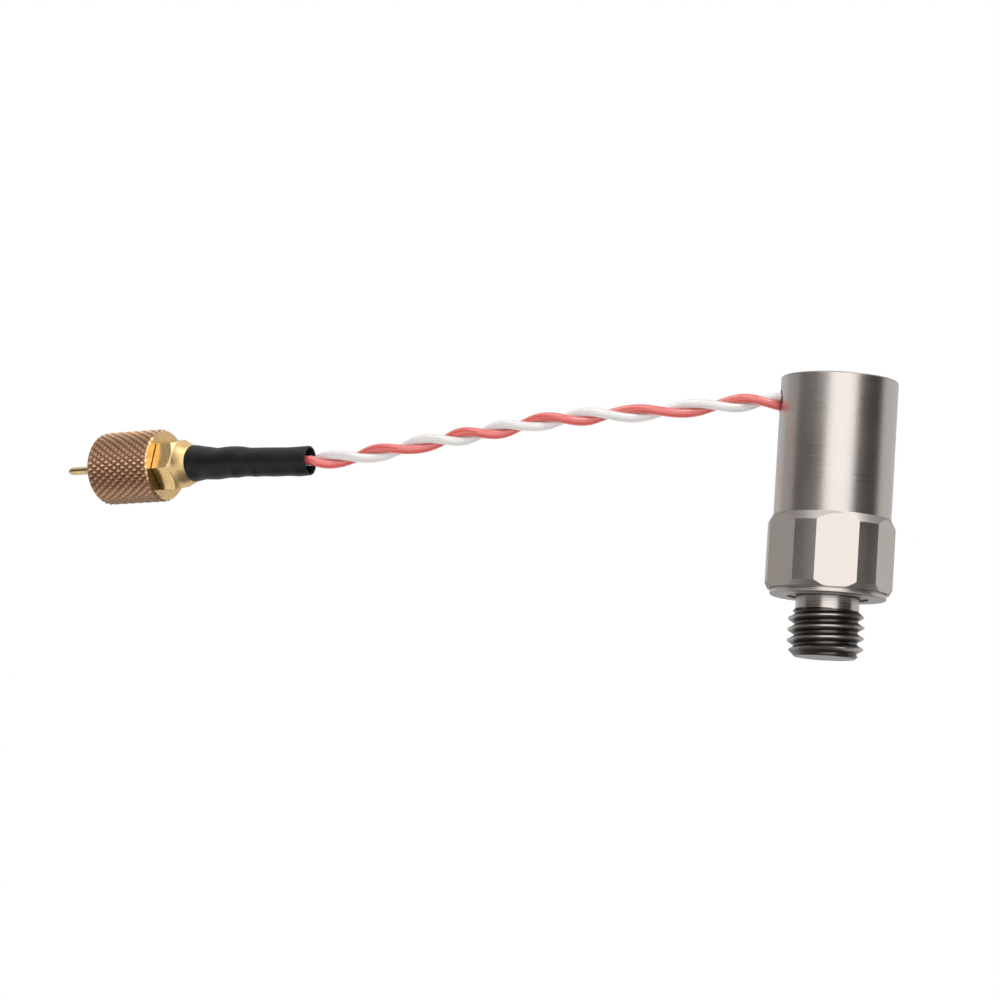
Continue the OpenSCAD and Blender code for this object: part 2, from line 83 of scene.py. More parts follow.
# %% Camera
SENSOR_MM = 36.0
SEAT_DEPTH = 274 * MM
NEAREST = 10 * MM

camera_data = bpy.data.cameras.new("camera")
camera_data.sensor_width = SENSOR_MM
camera_data.lens = FOCAL_PX / FRAME_PX * SENSOR_MM
camera_data.clip_start = NEAREST
camera = bpy.data.objects.new("camera", camera_data)
bpy.context.collection.objects.link(camera)
axes = Matrix((right, up, -ahead)).transposed().to_4x4()
camera.matrix_world = Matrix.Translation(-ray * SEAT_DEPTH) @ axes
bpy.context.scene.camera = camera
print("camera at", [round(x / MM, 1) for x in camera.matrix_world.translation], "mm")

# %% [markdown]
# ## The route of the pigtail
# The two wires were twisted by hand, so the twist isn't even. Each point of the route below is a quarter
# turn, which keeps the uneven lay that the real pair has. A Catmull-Rom curve is a simple way to pass
# smoothly through every point. The plug's place and direction come from its joint in the record.

# %% Route
# Points of the pair from the case's exit to the heat shrink, and under it, in mm from the exit
PAIR_MM = [
    (0, 0, 0), (-1.7, 0, -0.1), (-3.5, 0, -0.4), (-5.5, 0, -0.75), (-7.7, 0, -1.15), (-10, 0.1, -1.55),
    (-12.2, 0.15, -1.85), (-14.5, 0.25, -2.1), (-16.3, 0.35, -2.4), (-18.1, 0.45, -2.7),
    (-19.9, 0.6, -3.05), (-21.7, 0.8, -3.5), (-23.3, 1, -3.9), (-24.9, 1.2, -4.3), (-26.5, 1.45, -4.65),
    (-28, 1.75, -5), (-29.9, 2.1, -5.45), (-31.7, 2.5, -5.95), (-33.6, 2.95, -6.35), (-35.4, 3.5, -6.75),
    (-37.4, 4.15, -7), (-38.9, 4.65, -7.1),
]
UNDER_SHRINK_MM = [(-40, 5.1, -7.15), (-42.2, 6, -7.2), (-44.4, 7, -7.2)]
HEX_REAR = -2.95 * MM
TAIL_LENGTH = 4 * MM

joint = frame["joints"][0]
plug_at = np.array(joint["pos_m"])
plug_dir = np.array(joint["axis"]) / np.linalg.norm(joint["axis"])
bush_low, bush_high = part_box("exit_bush")
exit_at = np.array([bush_low.x, 0, (bush_low.z + bush_high.z) / 2])


def plug_point(z):
    """A point on the plug's axis, z forwards from the coupling nut's rear face."""
    return plug_at + z * plug_dir


pair_end = len(PAIR_MM) - 1
route = [exit_at + MM * np.array(p) for p in PAIR_MM + UNDER_SHRINK_MM]
route += [plug_point(HEX_REAR - TAIL_LENGTH), plug_point(HEX_REAR)]
tail_point = len(route) - 2
print("pair leaves the case at", (exit_at / MM).round(2), "and the plug is at", (plug_at / MM).round(2))

# %% Smooth curve
LOOK_ALONG = 0.1


def smooth(points, t):
    """A point on the smooth curve through the points, with t counted in points."""
    last = len(points) - 1
    i = int(max(0, min(last - 1, math.floor(t))))
    u = t - i
    a, b, c, d = points[max(0, i - 1)], points[i], points[i + 1], points[min(last, i + 2)]
    return b + u / 2 * (c - a + u * (2 * a - 5 * b + 4 * c - d + u * (3 * b - a - 3 * c + d)))


def unit(v):
    return v / np.linalg.norm(v)


def square_to(points, t):
    """Three directions at a place on the curve: along it, towards the viewer, and up."""
    along = unit(smooth(points, t + LOOK_ALONG) - smooth(points, max(0, t - LOOK_ALONG)))
    front = unit(np.cross((0, 0, 1), along))
    return along, front, np.cross(along, front)


print("pair starts along", square_to(route, 0)[0].round(2))

# %% [markdown]
# ## The red and the white wire
# A curve with a round bevel is the natural way to make a wire: its points are the wire's middle line.
# Both wires run round the same route on opposite sides. They start at their terminals inside the case,
# pass the slot in the bush one above the other, and end under the heat shrink, the red one in the plug's
# tail and the white one at its rim.

# %% Lay of the wires
WIRE_D = 0.78 * MM
WIRE_ROOM = 0.04 * MM
TWIST_R = 0.375 * MM
EXIT_R = 0.395 * MM
QUARTER_TURN = math.radians(90)
TERMINAL_X, TERMINAL_Y = -1.53 * MM, 0.9 * MM
LEAD_IN_X = -3.7 * MM
TAIL_RED_R = 0.3 * MM
TAIL_WHITE_R = TAIL_RED_R - WIRE_D - WIRE_ROOM
END_GAP = 0.08 * MM
CUP_LENGTH = 1.22 * MM
CUP_REAR = HEX_REAR - CUP_LENGTH
STEPS_PER_POINT = 6
# Places under the heat shrink, in points past the end of the pair
UNDER_STEPS = (0.75, 1.5, 2.25, 3)


def twist(t):
    """Where the low wire lies round the pair: below it at the exit, then a quarter turn a point."""
    angle = QUARTER_TURN * min(t, pair_end)
    _, front, over = square_to(route, t)
    return math.sin(angle) * front - math.cos(angle) * over


def wire_line(side, tail_r):
    """Middle line of one wire: side is 1 for the wire that leaves low, and -1 for the other."""
    exit_z = exit_at[2] - side * EXIT_R
    line = [np.array([TERMINAL_X, -side * TERMINAL_Y, exit_z]), np.array([LEAD_IN_X, 0, exit_z])]
    for i in range(pair_end * STEPS_PER_POINT + 1):
        t = i / STEPS_PER_POINT
        off = TWIST_R + (EXIT_R - TWIST_R) * max(0.0, 1 - t)
        line.append(smooth(route, t) + side * off * twist(t))
    for step in UNDER_STEPS:
        t = pair_end + step
        line.append(smooth(route, t) + side * TWIST_R * twist(t))
    line.append(plug_point(HEX_REAR - TAIL_LENGTH - END_GAP) + tail_r * twist(tail_point))
    return line


red_line = wire_line(1, TAIL_RED_R)
red_line.append(plug_point(CUP_REAR - END_GAP) + TAIL_RED_R * twist(tail_point))
white_line = wire_line(-1, TAIL_WHITE_R)
print("points along the wires:", len(red_line), "red and", len(white_line), "white")

# %% Wires
ROUND_STEPS = 8


def wire(name, line):
    """A round wire along a line: a bevelled curve of one open spline, as thick as its points say."""
    curve = bpy.data.curves.new(name, "CURVE")
    curve.dimensions = "3D"
    curve.bevel_depth = 1
    curve.bevel_resolution = ROUND_STEPS
    curve.use_fill_caps = True
    spline = curve.splines.new("POLY")
    spline.points.add(len(line) - 1)
    for point, place in zip(spline.points, line):
        point.co = (*place, 1)
        point.radius = WIRE_D / 2
    spline.use_smooth = True
    made = bpy.data.objects.new(name, curve)
    bpy.context.collection.objects.link(made)
    length = sum(np.linalg.norm(b - a) for a, b in zip(line, line[1:]))
    print(name, "is", round(length / MM, 1), "mm long")
    return made


red_wire = wire("red_insulated_wire", red_line)
white_wire = wire("white_insulated_wire", white_line)
for piece, node, colour in ((red_wire, "red_wire", "red"), (white_wire, "white_wire", "white")):
    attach(piece, "sensor")
    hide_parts(node)

# %% [markdown]
# ## Grids that bend into turned pieces
# A lathe sweeps one outline round an axis. In Blender that is a grid of points: one row for each point
# of the outline, one column for each angle. Writing the grid by hand, instead of using the Screw
# modifier, lets any point move by itself, and that is how the hexagons, the thread and the knurl are
# made below.

# %% Meshes from points
WELD = 1e-8
SHARP = math.radians(28)


def mesh_piece(name, points, faces, sharp=SHARP):
    """A mesh object from points and faces, welded, with smooth faces between its sharp edges."""
    mesh = bpy.data.meshes.new(name)
    mesh.from_pydata([tuple(p) for p in points], [], faces)
    work = bmesh.new()
    work.from_mesh(mesh)
    bmesh.ops.remove_doubles(work, verts=work.verts, dist=WELD)
    bmesh.ops.dissolve_degenerate(work, edges=work.edges, dist=WELD)
    bmesh.ops.recalc_face_normals(work, faces=work.faces)
    work.to_mesh(mesh)
    work.free()
    mesh.shade_smooth()
    mesh.set_sharp_from_angle(angle=sharp)
    made = bpy.data.objects.new(name, mesh)
    bpy.context.collection.objects.link(made)
    return made


def grid_faces(rows, columns, closed=False):
    """Faces of a grid whose columns close into a ring, and whose rows do too if closed."""
    faces = []
    for i in range(rows if closed else rows - 1):
        low, high = i * columns, (i + 1) % rows * columns
        for j in range(columns):
            k = (j + 1) % columns
            faces.append((low + j, low + k, high + k, high + j))
    return faces


print("edges stay sharp from", round(math.degrees(SHARP)), "degrees")

# %% Turned pieces
def turned(name, outlines, angles, place=None, faces=None, sharp=SHARP):
    """A turned piece from one outline of (radius, height) for each angle."""
    rows = len(outlines[0])
    points = []
    for i in range(rows):
        for outline, angle in zip(outlines, angles):
            r, z = outline[i]
            points.append(Vector((r * math.cos(angle), r * math.sin(angle), z)))
    if place is not None:
        points = [place @ p for p in points]
    return mesh_piece(name, points, faces or grid_faces(rows, len(angles)), sharp)


def even_angles(count):
    return [2 * math.pi * j / count for j in range(count)]


def arc(middle, radius, start, end, steps):
    """Points of an arc in an outline, with its angles in degrees."""
    turns = [math.radians(start + (end - start) * i / steps) for i in range(steps + 1)]
    return [(middle[0] + radius * math.cos(a), middle[1] + radius * math.sin(a)) for a in turns]


print("turned pieces ready")

# %% [markdown]
# ## The base: hexagon and seat
# The base is turned from hexagon bar: the lathe rounds the bar's corners, so each flat ends in a curved
# line where the turned cone crosses it. Here each column of the grid is the lathe's outline, cut back to
# the flat at that angle. The sizes that the frame already has are read from its boxes, so the two can't
# drift apart.

# %% Sizes of the base
base_low, base_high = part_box("base")
case_low, case_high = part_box("case")
HEX_FLAT, HEX_CORNER, HEX_TURN = base_high.y, base_high.x, 30
CASE_R, CASE_Z, TOP_Z = case_high.x, case_low.z, case_high.z
COLLAR_R, COLLAR_H, COLLAR_EDGE, SEAT_EDGE = 4.85 * MM, 0.42 * MM, 0.04 * MM, 0.15 * MM
GROOVE_H, GROOVE_DEPTH = 0.08 * MM, 0.12 * MM
HEX_Z = COLLAR_H + GROOVE_H
FOOT_R, FOOT_H = 5.075 * MM, 0.45 * MM
CONE_H = 0.75 * MM
SPIGOT_R, SPIGOT_Z = 4.18 * MM, 7.7 * MM
POST_R, POST_Z, POST_EDGE = 1 * MM, base_high.z, 0.2 * MM
NECK_R, NECK_LENGTH = 2.65 * MM, 1.05 * MM
UNDERCUT_R, UNDERCUT_H = 3.375 * MM, 0.12 * MM
print("hexagon", round(2 * HEX_FLAT / MM, 2), "mm across flats")

# %% Flats that cut an outline back
# Degrees from one flat of a hexagon to the next, columns on each flat, and steps round each corner
SIDE_TURN = 60
FLAT_STEPS, CORNER_STEPS = 16, 4


def hex_angles(turn, flat, corner):
    """Angles round a hexagon, with one on each edge between a flat and a turned corner."""
    edge = math.degrees(math.acos(flat / corner))
    on_flat = np.linspace(-edge, edge, FLAT_STEPS)
    on_corner = np.linspace(edge, SIDE_TURN - edge, CORNER_STEPS + 1)[1:-1]
    one_side = [*on_flat, *on_corner]
    return [math.radians(turn + SIDE_TURN * side + a) for side in range(6) for a in one_side]


def flat_limit(angle, turn, flat):
    """How far out a hexagon's flat lets a point lie at an angle."""
    half = SIDE_TURN / 2
    off = (math.degrees(angle) - turn + half) % SIDE_TURN - half
    return flat / math.cos(math.radians(off))


def cut_back(outline, limit, lower):
    """The outline cut back to a limit: what lies past it goes to where the outline crosses it.

    Points up to the one called lower go to the low crossing, and those after it to the high one.
    """
    past = [i for i, (r, _) in enumerate(outline) if r > limit + WELD]
    if not past:
        return outline
    ends = []
    for i, j in ((past[0] - 1, past[0]), (past[-1] + 1, past[-1])):
        (r0, z0), (r1, z1) = outline[i], outline[j]
        share = (limit - r0) / (r1 - r0)
        ends.append((limit, z0 + share * (z1 - z0)))
    cut = list(outline)
    for i in past:
        cut[i] = ends[0] if i <= lower else ends[1]
    return cut


base_angles = hex_angles(HEX_TURN, HEX_FLAT, HEX_CORNER)
print("columns round the base:", len(base_angles))

# %% Outline of the hexagon and seat
def hexagon_outline(angle):
    """The base's outline at one angle, from the neck up to the top of the post."""
    groove_r = COLLAR_R - GROOVE_DEPTH
    outline = [(NECK_R, 0), (NECK_R, UNDERCUT_H), (UNDERCUT_R, UNDERCUT_H), (UNDERCUT_R, 0)]
    outline += arc((COLLAR_R - SEAT_EDGE, SEAT_EDGE), SEAT_EDGE, -90, 0, 4)
    outline += [(COLLAR_R, COLLAR_H - COLLAR_EDGE), (COLLAR_R - COLLAR_EDGE, COLLAR_H)]
    outline += [(groove_r, COLLAR_H), (groove_r, HEX_Z), (FOOT_R, HEX_Z), (HEX_CORNER, HEX_Z + FOOT_H)]
    lower = len(outline) - 1
    outline += [(HEX_CORNER, CASE_Z - CONE_H), (CASE_R, CASE_Z)]
    outline += [(SPIGOT_R, CASE_Z), (SPIGOT_R, SPIGOT_Z), (POST_R, SPIGOT_Z)]
    outline += [(POST_R, POST_Z - POST_EDGE), (POST_R - POST_EDGE, POST_Z), (0, POST_Z)]
    return cut_back(outline, flat_limit(angle, HEX_TURN, HEX_FLAT), lower)


print("points in the base's outline above the neck:", len(hexagon_outline(0)))

# %% [markdown]
# ## The stud's thread
# A thread is one groove that climbs by a pitch in every turn. If the rows of the grid stayed level, they
# would cut the crests into steps. So here the rows climb with the thread, and after a full turn each
# joins the row one pitch above. Points past either end are pulled back to it, where the weld merges
# them, and the chamfer trims the first turn.

# %% Form of the thread
INCH = 25.4 * MM
STUD_END = base_low.z
STUD_R, STUD_CHAMFER = 3.175 * MM, 0.65 * MM
PITCH = INCH / 28
CREST_AT = -1.42 * MM
# Half a crest and the root's start as shares of the pitch, and the rows on a flank
CREST_HALF, ROOT_AT, FLANK_STEPS = 0.0625, 0.4, 7
# Pitches by which the rows start below the stud's end
START_BELOW = 1.1

flank = []
for i in range(FLANK_STEPS + 1):
    x = CREST_HALF + (ROOT_AT - CREST_HALF) * i / FLANK_STEPS
    flank.append((x, 1 - i / FLANK_STEPS))
thread_form = flank + [(1 - x, height) for x, height in reversed(flank)]
first_turn = base_angles[0] / (2 * math.pi)
whole_turns = math.floor((STUD_END - CREST_AT) / PITCH - START_BELOW - first_turn)
thread_start = CREST_AT + PITCH * (first_turn + whole_turns)
pitches = math.ceil((-NECK_LENGTH - thread_start) / PITCH) + 1
print("thread pitch", round(PITCH / MM, 3), "mm,", pitches, "turns of rows")

# %% Base with its stud
BASE_SHARP = math.radians(12)


def stud_outline(angle):
    """The stud's outline at one angle, on points that climb with the thread."""
    outline = []
    for turn in range(pitches):
        for x, height in thread_form:
            climb = turn + x + angle / (2 * math.pi) - first_turn
            z = min(max(thread_start + PITCH * climb, STUD_END), -NECK_LENGTH)
            thread_r = NECK_R + (STUD_R - NECK_R) * height
            chamfer_r = STUD_R - STUD_CHAMFER + z - STUD_END
            top_r = NECK_R - NECK_LENGTH - z
            outline.append((min(thread_r, chamfer_r, top_r), z))
    return outline


def thread_faces(rows, columns, last, pitch_rows):
    """Faces of a grid whose rows from 1 to last climb: after a turn each joins the row one pitch on."""
    faces = []
    for i in range(rows - 1):
        low, high = i * columns, (i + 1) * columns
        for j in range(columns):
            k = (j + 1) % columns
            climbs = k == 0 and 1 <= i < last
            if climbs and i + 1 + pitch_rows > last:
                continue
            jump = pitch_rows * columns if climbs else 0
            faces.append((low + j, low + k + jump, high + k + jump, high + j))
    return faces


base_outlines = [[(0, STUD_END)] + stud_outline(a) + hexagon_outline(a) for a in base_angles]
pitch_rows = len(thread_form)
base_faces = thread_faces(len(base_outlines[0]), len(base_angles), pitches * pitch_rows, pitch_rows)
base = turned("hexagon_base", base_outlines, base_angles, faces=base_faces, sharp=BASE_SHARP)
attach(base, "sensor")
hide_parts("base")
print("base:", len(base.data.polygons), "faces")

# %% [markdown]
# ## The case
# The case is a drawn steel cup, upside down. Its outline is turned like the base, with a small radius
# round the top. The wires' hole is the one thing that isn't turned, so it is drilled with a Boolean
# modifier, which is then applied so that the sharp rim of the hole can be marked.

# %% Drill
HOLE_R = 1 * MM
HOLE_COLUMNS = 48
BIT_ROOM = 1 * MM


def drill(piece, start, direction, radius, depth):
    """Cuts a round hole in a piece, and keeps its rim sharp."""
    angles = even_angles(HOLE_COLUMNS)
    outline = [(0, 0), (radius, 0), (radius, depth), (0, depth)]
    turn = Vector(direction).to_track_quat("Z", "Y").to_matrix().to_4x4()
    bit = turned("bit", [outline] * len(angles), angles, Matrix.Translation(start) @ turn)
    cut = piece.modifiers.new("hole", "BOOLEAN")
    cut.object = bit
    cut.solver = "EXACT"
    shape = piece.evaluated_get(bpy.context.evaluated_depsgraph_get())
    piece.data = bpy.data.meshes.new_from_object(shape)
    piece.modifiers.clear()
    bpy.data.objects.remove(bit)
    piece.data.set_sharp_from_angle(angle=SHARP)


print("drill of", 2 * HOLE_R / MM, "mm ready")

# %% Case
CASE_WALL = 0.7 * MM
CASE_TOP = 0.8 * MM
CASE_EDGE = 0.12 * MM
CASE_COLUMNS = 192

case_inner = CASE_R - CASE_WALL
case_outline = [(case_inner, CASE_Z), (CASE_R, CASE_Z)]
case_outline += arc((CASE_R - CASE_EDGE, TOP_Z - CASE_EDGE), CASE_EDGE, 0, 90, 6)
case_outline += [(0, TOP_Z), (0, TOP_Z - CASE_TOP), (case_inner, TOP_Z - CASE_TOP), (case_inner, CASE_Z)]
case = turned("sensor_case", [case_outline] * CASE_COLUMNS, even_angles(CASE_COLUMNS))
drill(case, (-CASE_R - BIT_ROOM, 0, exit_at[2]), (1, 0, 0), HOLE_R, CASE_WALL + 2 * BIT_ROOM)
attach(case, "sensor")
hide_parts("case")
print("case:", len(case.data.polygons), "faces")

# %% [markdown]
# ## The heat-shrink sleeve
# Heat shrink grips what lies under it, so its outside shows the lumps of the joint: thick against the
# plug, a step where the plug's tail ends, and a slight flare at its open mouth. The sleeve is a tube
# swept along the same route as the wires, with a few listed lumps added to its radius.

# %% Lumpy radius
# Outside radius from the sleeve's mouth to the plug: (share of its length, radius over and under, in mm)
SHRINK_RADII = [
    (0, 1.27, 1.24), (0.03, 1.26, 1.24), (0.08, 1.25, 1.3), (0.11, 1.22, 1.32), (0.15, 1.2, 1.28),
    (0.2, 1.17, 1.27), (0.3, 1.18, 1.31), (0.4, 1.17, 1.29), (0.45, 1.15, 1.36), (0.5, 1.14, 1.31),
    (0.55, 1.21, 1.35), (0.61, 1.26, 1.47), (0.66, 1.27, 1.43), (0.71, 1.25, 1.45), (0.78, 1.19, 1.53),
    (0.85, 1.34, 1.48), (0.9, 1.42, 1.44), (0.95, 1.54, 1.51), (0.985, 1.6, 1.59), (1, 1.57, 1.57),
]
# Lumps on its sides: (share of its length, angle in degrees, length, breadth in degrees, height in mm)
LUMPS = [
    (0.2, 30, 0.12, 50, 0.02), (0.36, 200, 0.1, 60, 0.03), (0.58, 10, 0.05, 40, 0.03),
    (0.43, 0, 0.04, 40, -0.03), (0.72, -15, 0.05, 45, 0.04), (0.8, 20, 0.04, 40, -0.03),
]
BLEND = 0.015


def lumpy_radius(share, angle):
    """Outside radius of the sleeve at a share of its length and an angle in degrees."""
    shares, over, under = zip(*SHRINK_RADII)
    near = (share - BLEND, share, share + BLEND)
    high, low = np.mean(np.interp(near, shares, over)), np.mean(np.interp(near, shares, under))
    r = (high + low) / 2 + (high - low) / 2 * math.sin(math.radians(angle))
    for at, turn, length, breadth, height in LUMPS:
        off = (angle - turn + 180) % 360 - 180
        r += height * math.exp(-((share - at) / length) ** 2 - (off / breadth) ** 2)
    return r * MM


print("sleeve is", round(2 * lumpy_radius(0.5, 0) / MM, 2), "mm thick half-way")

# %% Rings of the sleeve
SHRINK_COLUMNS = 64
SHRINK_FIT = 0.02 * MM
MEASURE_STEPS = 40
# The last rings take their direction from just over LOOK_ALONG before the route's end
END_ROOM = 0.11

sleeve_route = [route[i] for i in range(pair_end, len(route))]
sleeve_route[-1] = plug_point(HEX_REAR - SHRINK_FIT)
sleeve_steps = len(sleeve_route) - 1
sleeve_t = np.linspace(0, sleeve_steps, MEASURE_STEPS * sleeve_steps + 1)
sleeve_line = np.array([smooth(sleeve_route, t) for t in sleeve_t])
sleeve_run = np.concatenate([[0], np.cumsum(np.linalg.norm(np.diff(sleeve_line, axis=0), axis=1))])


def sleeve_ring(share, radius_at):
    """One ring of the sleeve, square to its route."""
    t = np.interp(share * sleeve_run[-1], sleeve_run, sleeve_t)
    _, front, over = square_to(sleeve_route, min(t, sleeve_steps - END_ROOM))
    ring = []
    for angle in np.linspace(0, 360, SHRINK_COLUMNS, endpoint=False):
        a = math.radians(angle)
        out = math.cos(a) * front + math.sin(a) * over
        ring.append(smooth(sleeve_route, t) + radius_at(angle) * out)
    return ring


print("route under the sleeve is", round(sleeve_run[-1] / MM, 1), "mm long")

# %% Heat shrink
SHRINK_ROWS = 150
SHRINK_SHARP = math.radians(50)
MOUTH, MOUTH_LIP = 0.017, 0.03 * MM
# Inside radius from the mouth: (share of the sleeve's length, radius in mm)
SHRINK_BORE = [(0, 1.15), (0.05, 1.02), (0.41, 0.96), (0.51, 1.07)]

rings = []
for share in np.linspace(MOUTH, 1, SHRINK_ROWS):
    lip = MOUTH_LIP if share == MOUTH else 0
    rings.append(sleeve_ring(share, lambda angle: lumpy_radius(share, angle) - lip))
for share in np.linspace(1, MOUTH, SHRINK_ROWS // 2):
    inner = np.interp(share, *zip(*SHRINK_BORE)) * MM
    rings.append(sleeve_ring(share, lambda angle: inner))
sleeve_points = [p for ring in rings for p in ring]
sleeve_faces = grid_faces(len(rings), SHRINK_COLUMNS, closed=True)
sleeve = mesh_piece("shrunk_sleeve", sleeve_points, sleeve_faces, SHRINK_SHARP)
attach(sleeve, "sensor")
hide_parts("heat_shrink_sleeve")
print("sleeve:", len(sleeve.data.polygons), "faces")

# %% [markdown]
# ## The plug's hexagon and pin
# The gold pieces are turned about the plug's own axis, so they are drawn upright and then placed by one
# matrix. The hexagon uses the same cut as the base: the chamfer behind it leaves an arc on every flat.
# Its edges are broken with a Bevel modifier, as a deburring tool does, so that they catch the light.

# %% Plug hexagon
PLUG_FLAT = 2.025 * MM
PLUG_CORNER = PLUG_FLAT / math.cos(math.radians(SIDE_TURN / 2))
PLUG_HEX_TURN, PLUG_HEX_STEP = 45, 3
# The boss behind it, from its rear: (radius, distance) in mm
PLUG_BOSS = [(1.58, 0), (1.61, 0.03), (1.76, 0.3), (1.88, 0.6), (1.945, 0.85), (1.99, 1.08)]
NUT_GAP = 0.06 * MM
NECK_BORE = 1.52 * MM
EDGE_BREAK = 0.03 * MM

low_axis = unit(np.cross(np.cross(plug_dir, (0, 0, -1)), plug_dir))
front_axis = np.cross(plug_dir, low_axis)
plug_axes = Matrix([Vector(low_axis), Vector(front_axis), Vector(plug_dir)]).transposed().to_4x4()
plug_place = Matrix.Translation(plug_at) @ plug_axes


def plug_hex_outline(angle):
    """The plug's hexagon at one angle: its boss, a chamfer up to the corners, and the front face."""
    outline = [(NECK_BORE, HEX_REAR)] + [(r * MM, HEX_REAR + z * MM) for r, z in PLUG_BOSS]
    boss_r, boss_z = outline[-1]
    outline.append((PLUG_CORNER, boss_z + PLUG_CORNER - boss_r))
    lower = len(outline) - 1
    outline += [(PLUG_CORNER, -NUT_GAP), (NECK_BORE, -NUT_GAP), (NECK_BORE, HEX_REAR)]
    return cut_back(outline, flat_limit(angle, PLUG_HEX_TURN, PLUG_FLAT), lower)


first_corner = PLUG_HEX_TURN - SIDE_TURN // 2
plug_hex_angles = [math.radians(first_corner + turn) for turn in range(0, 360, PLUG_HEX_STEP)]
plug_hex_outlines = [plug_hex_outline(a) for a in plug_hex_angles]
plug_hex = turned("spanner_hexagon", plug_hex_outlines, plug_hex_angles, plug_place)
bevel = plug_hex.modifiers.new("edge_break", "BEVEL")
bevel.width = EDGE_BREAK
bevel.segments = 2
bevel.limit_method = "ANGLE"
bevel.angle_limit = math.radians(30)
bevel.use_clamp_overlap = True
bevel.harden_normals = True
print("plug hexagon:", len(plug_hex.data.polygons), "faces")

# %% Contact pin
NUT_LENGTH = 6.45 * MM
FACE_ROOM = 0.02 * MM
CUP_R = 0.45 * MM
PIN_R, PIN_ROOT_R, PIN_TIP_R = 0.35 * MM, 0.4 * MM, 0.22 * MM
PIN_TAPER, PIN_SHOW, PIN_POINT = 1 * MM, 4.15 * MM, 0.8 * MM
# The pin's nose: (radius, distance from the tip) in mm
PIN_NOSE = [(0.34, 0.55), (0.29, 0.28)]
PIN_COLUMNS, PIN_SHARP = 48, math.radians(40)

pin_tip = NUT_LENGTH + PIN_SHOW
cup_front = HEX_REAR - FACE_ROOM
pin_outline = [(0, CUP_REAR), (CUP_R, CUP_REAR), (CUP_R, cup_front), (PIN_ROOT_R, cup_front)]
pin_outline += [(PIN_ROOT_R, NUT_LENGTH - PIN_TAPER), (PIN_R, NUT_LENGTH), (PIN_R, pin_tip - PIN_POINT)]
pin_outline += [(r * MM, pin_tip - z * MM) for r, z in PIN_NOSE]
pin_outline += arc((0, pin_tip - PIN_TIP_R), PIN_TIP_R, 30, 90, 6)
pin_angles = even_angles(PIN_COLUMNS)
pin = turned("contact_pin", [pin_outline] * PIN_COLUMNS, pin_angles, plug_place, sharp=PIN_SHARP)
for piece, node in ((plug_hex, "plug_hex"), (pin, "centre_pin")):
    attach(piece, "sensor")
    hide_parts(node)
print("pin reaches", round(pin_tip / MM, 2), "mm")

# %% [markdown]
# ## The coupling nut and its knurl
# A diamond knurl is two sets of grooves that cross. At each point of the nut's side, two saw-tooth waves
# run round it at opposite slants, and the lower of the two is the height of the metal there, which
# leaves rows of small pyramids. A bump map could fake them, but their ragged outline shows against the
# background, so they are real points here.

# %% Knurl
NUT_R = 3.175 * MM
KNURL_ROUND = 34
KNURL_LENGTH = 0.86 * MM
KNURL_DEPTH = 0.2 * MM
KNURL_STEPS = 8
KNURL_ROWS = round(NUT_LENGTH / KNURL_LENGTH * KNURL_STEPS) + 1
REAR_CHAMFER, REAR_SLOPE = 0.27 * MM, 0.9
FRONT_CHAMFER = 0.38 * MM


def saw(x):
    """A triangle wave from 0 to 1 and back."""
    return 1 - abs(2 * (x - math.floor(x)) - 1)


def knurl(angle, z):
    """Radius of the knurled side at an angle and a distance from the nut's rear."""
    turn = KNURL_ROUND * angle / (2 * math.pi)
    ridge = min(saw(turn + z / KNURL_LENGTH), saw(turn - z / KNURL_LENGTH))
    side = NUT_R - KNURL_DEPTH * (1 - ridge)
    return min(side, NUT_R - REAR_CHAMFER + REAR_SLOPE * z, NUT_R - FRONT_CHAMFER + NUT_LENGTH - z)


def knurl_faces(rows, columns):
    """Faces of the nut's grid. Each one on the knurl is split along the groove that crosses it."""
    faces = []
    for i in range(rows):
        low, high = i * columns, (i + 1) % rows * columns
        for j in range(columns):
            k = (j + 1) % columns
            a, b, c, d = low + j, low + k, high + k, high + j
            if not 1 <= i < KNURL_ROWS:
                faces.append((a, b, c, d))
            elif (i + j) % KNURL_STEPS == 0:
                faces += [(a, b, d), (b, c, d)]
            else:
                faces += [(a, b, c), (a, c, d)]
    return faces


print("knurl:", KNURL_ROUND, "ridges round it,", KNURL_ROWS, "rows of points")

# %% Coupling nut
NUT_BORE, NUT_THREAD = 2.025 * MM, 2.3 * MM
NUT_PITCH = INCH / 32
NUT_SHARP = math.radians(24)
# Slope of the inner thread's flanks, and the offset that leaves its crests and roots flat
INNER_SLOPE, INNER_OFFSET = 1.5, 0.25
LIP, LIP_BORE = 1 * MM, 1.53 * MM
BORE_ROWS = 90


def inner_thread(angle, z):
    """Radius of the nut's threaded bore, with a lead-in at its mouth."""
    turn = z / NUT_PITCH - angle / (2 * math.pi)
    share = min(1.0, max(0.0, INNER_SLOPE * saw(turn) - INNER_OFFSET))
    return max(NUT_BORE + share * (NUT_THREAD - NUT_BORE), NUT_THREAD - (NUT_LENGTH - z))


def nut_outline(angle):
    """From the lip's bore, over the rear face and the knurl, and back through the threaded bore."""
    outline = [(LIP_BORE, 0)]
    outline += [(knurl(angle, z), z) for z in np.linspace(0, NUT_LENGTH, KNURL_ROWS)]
    outline += [(inner_thread(angle, z), z) for z in np.linspace(NUT_LENGTH, LIP, BORE_ROWS)]
    return outline + [(LIP_BORE, LIP)]


nut_angles = even_angles(KNURL_ROUND * KNURL_STEPS)
nut_outlines = [nut_outline(a) for a in nut_angles]
nut_faces = knurl_faces(len(nut_outlines[0]), len(nut_angles))
nut = turned("knurled_nut", nut_outlines, nut_angles, plug_place, nut_faces, NUT_SHARP)
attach(nut, "coupling")
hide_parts("coupling_nut")
print("nut:", len(nut.data.polygons), "faces")

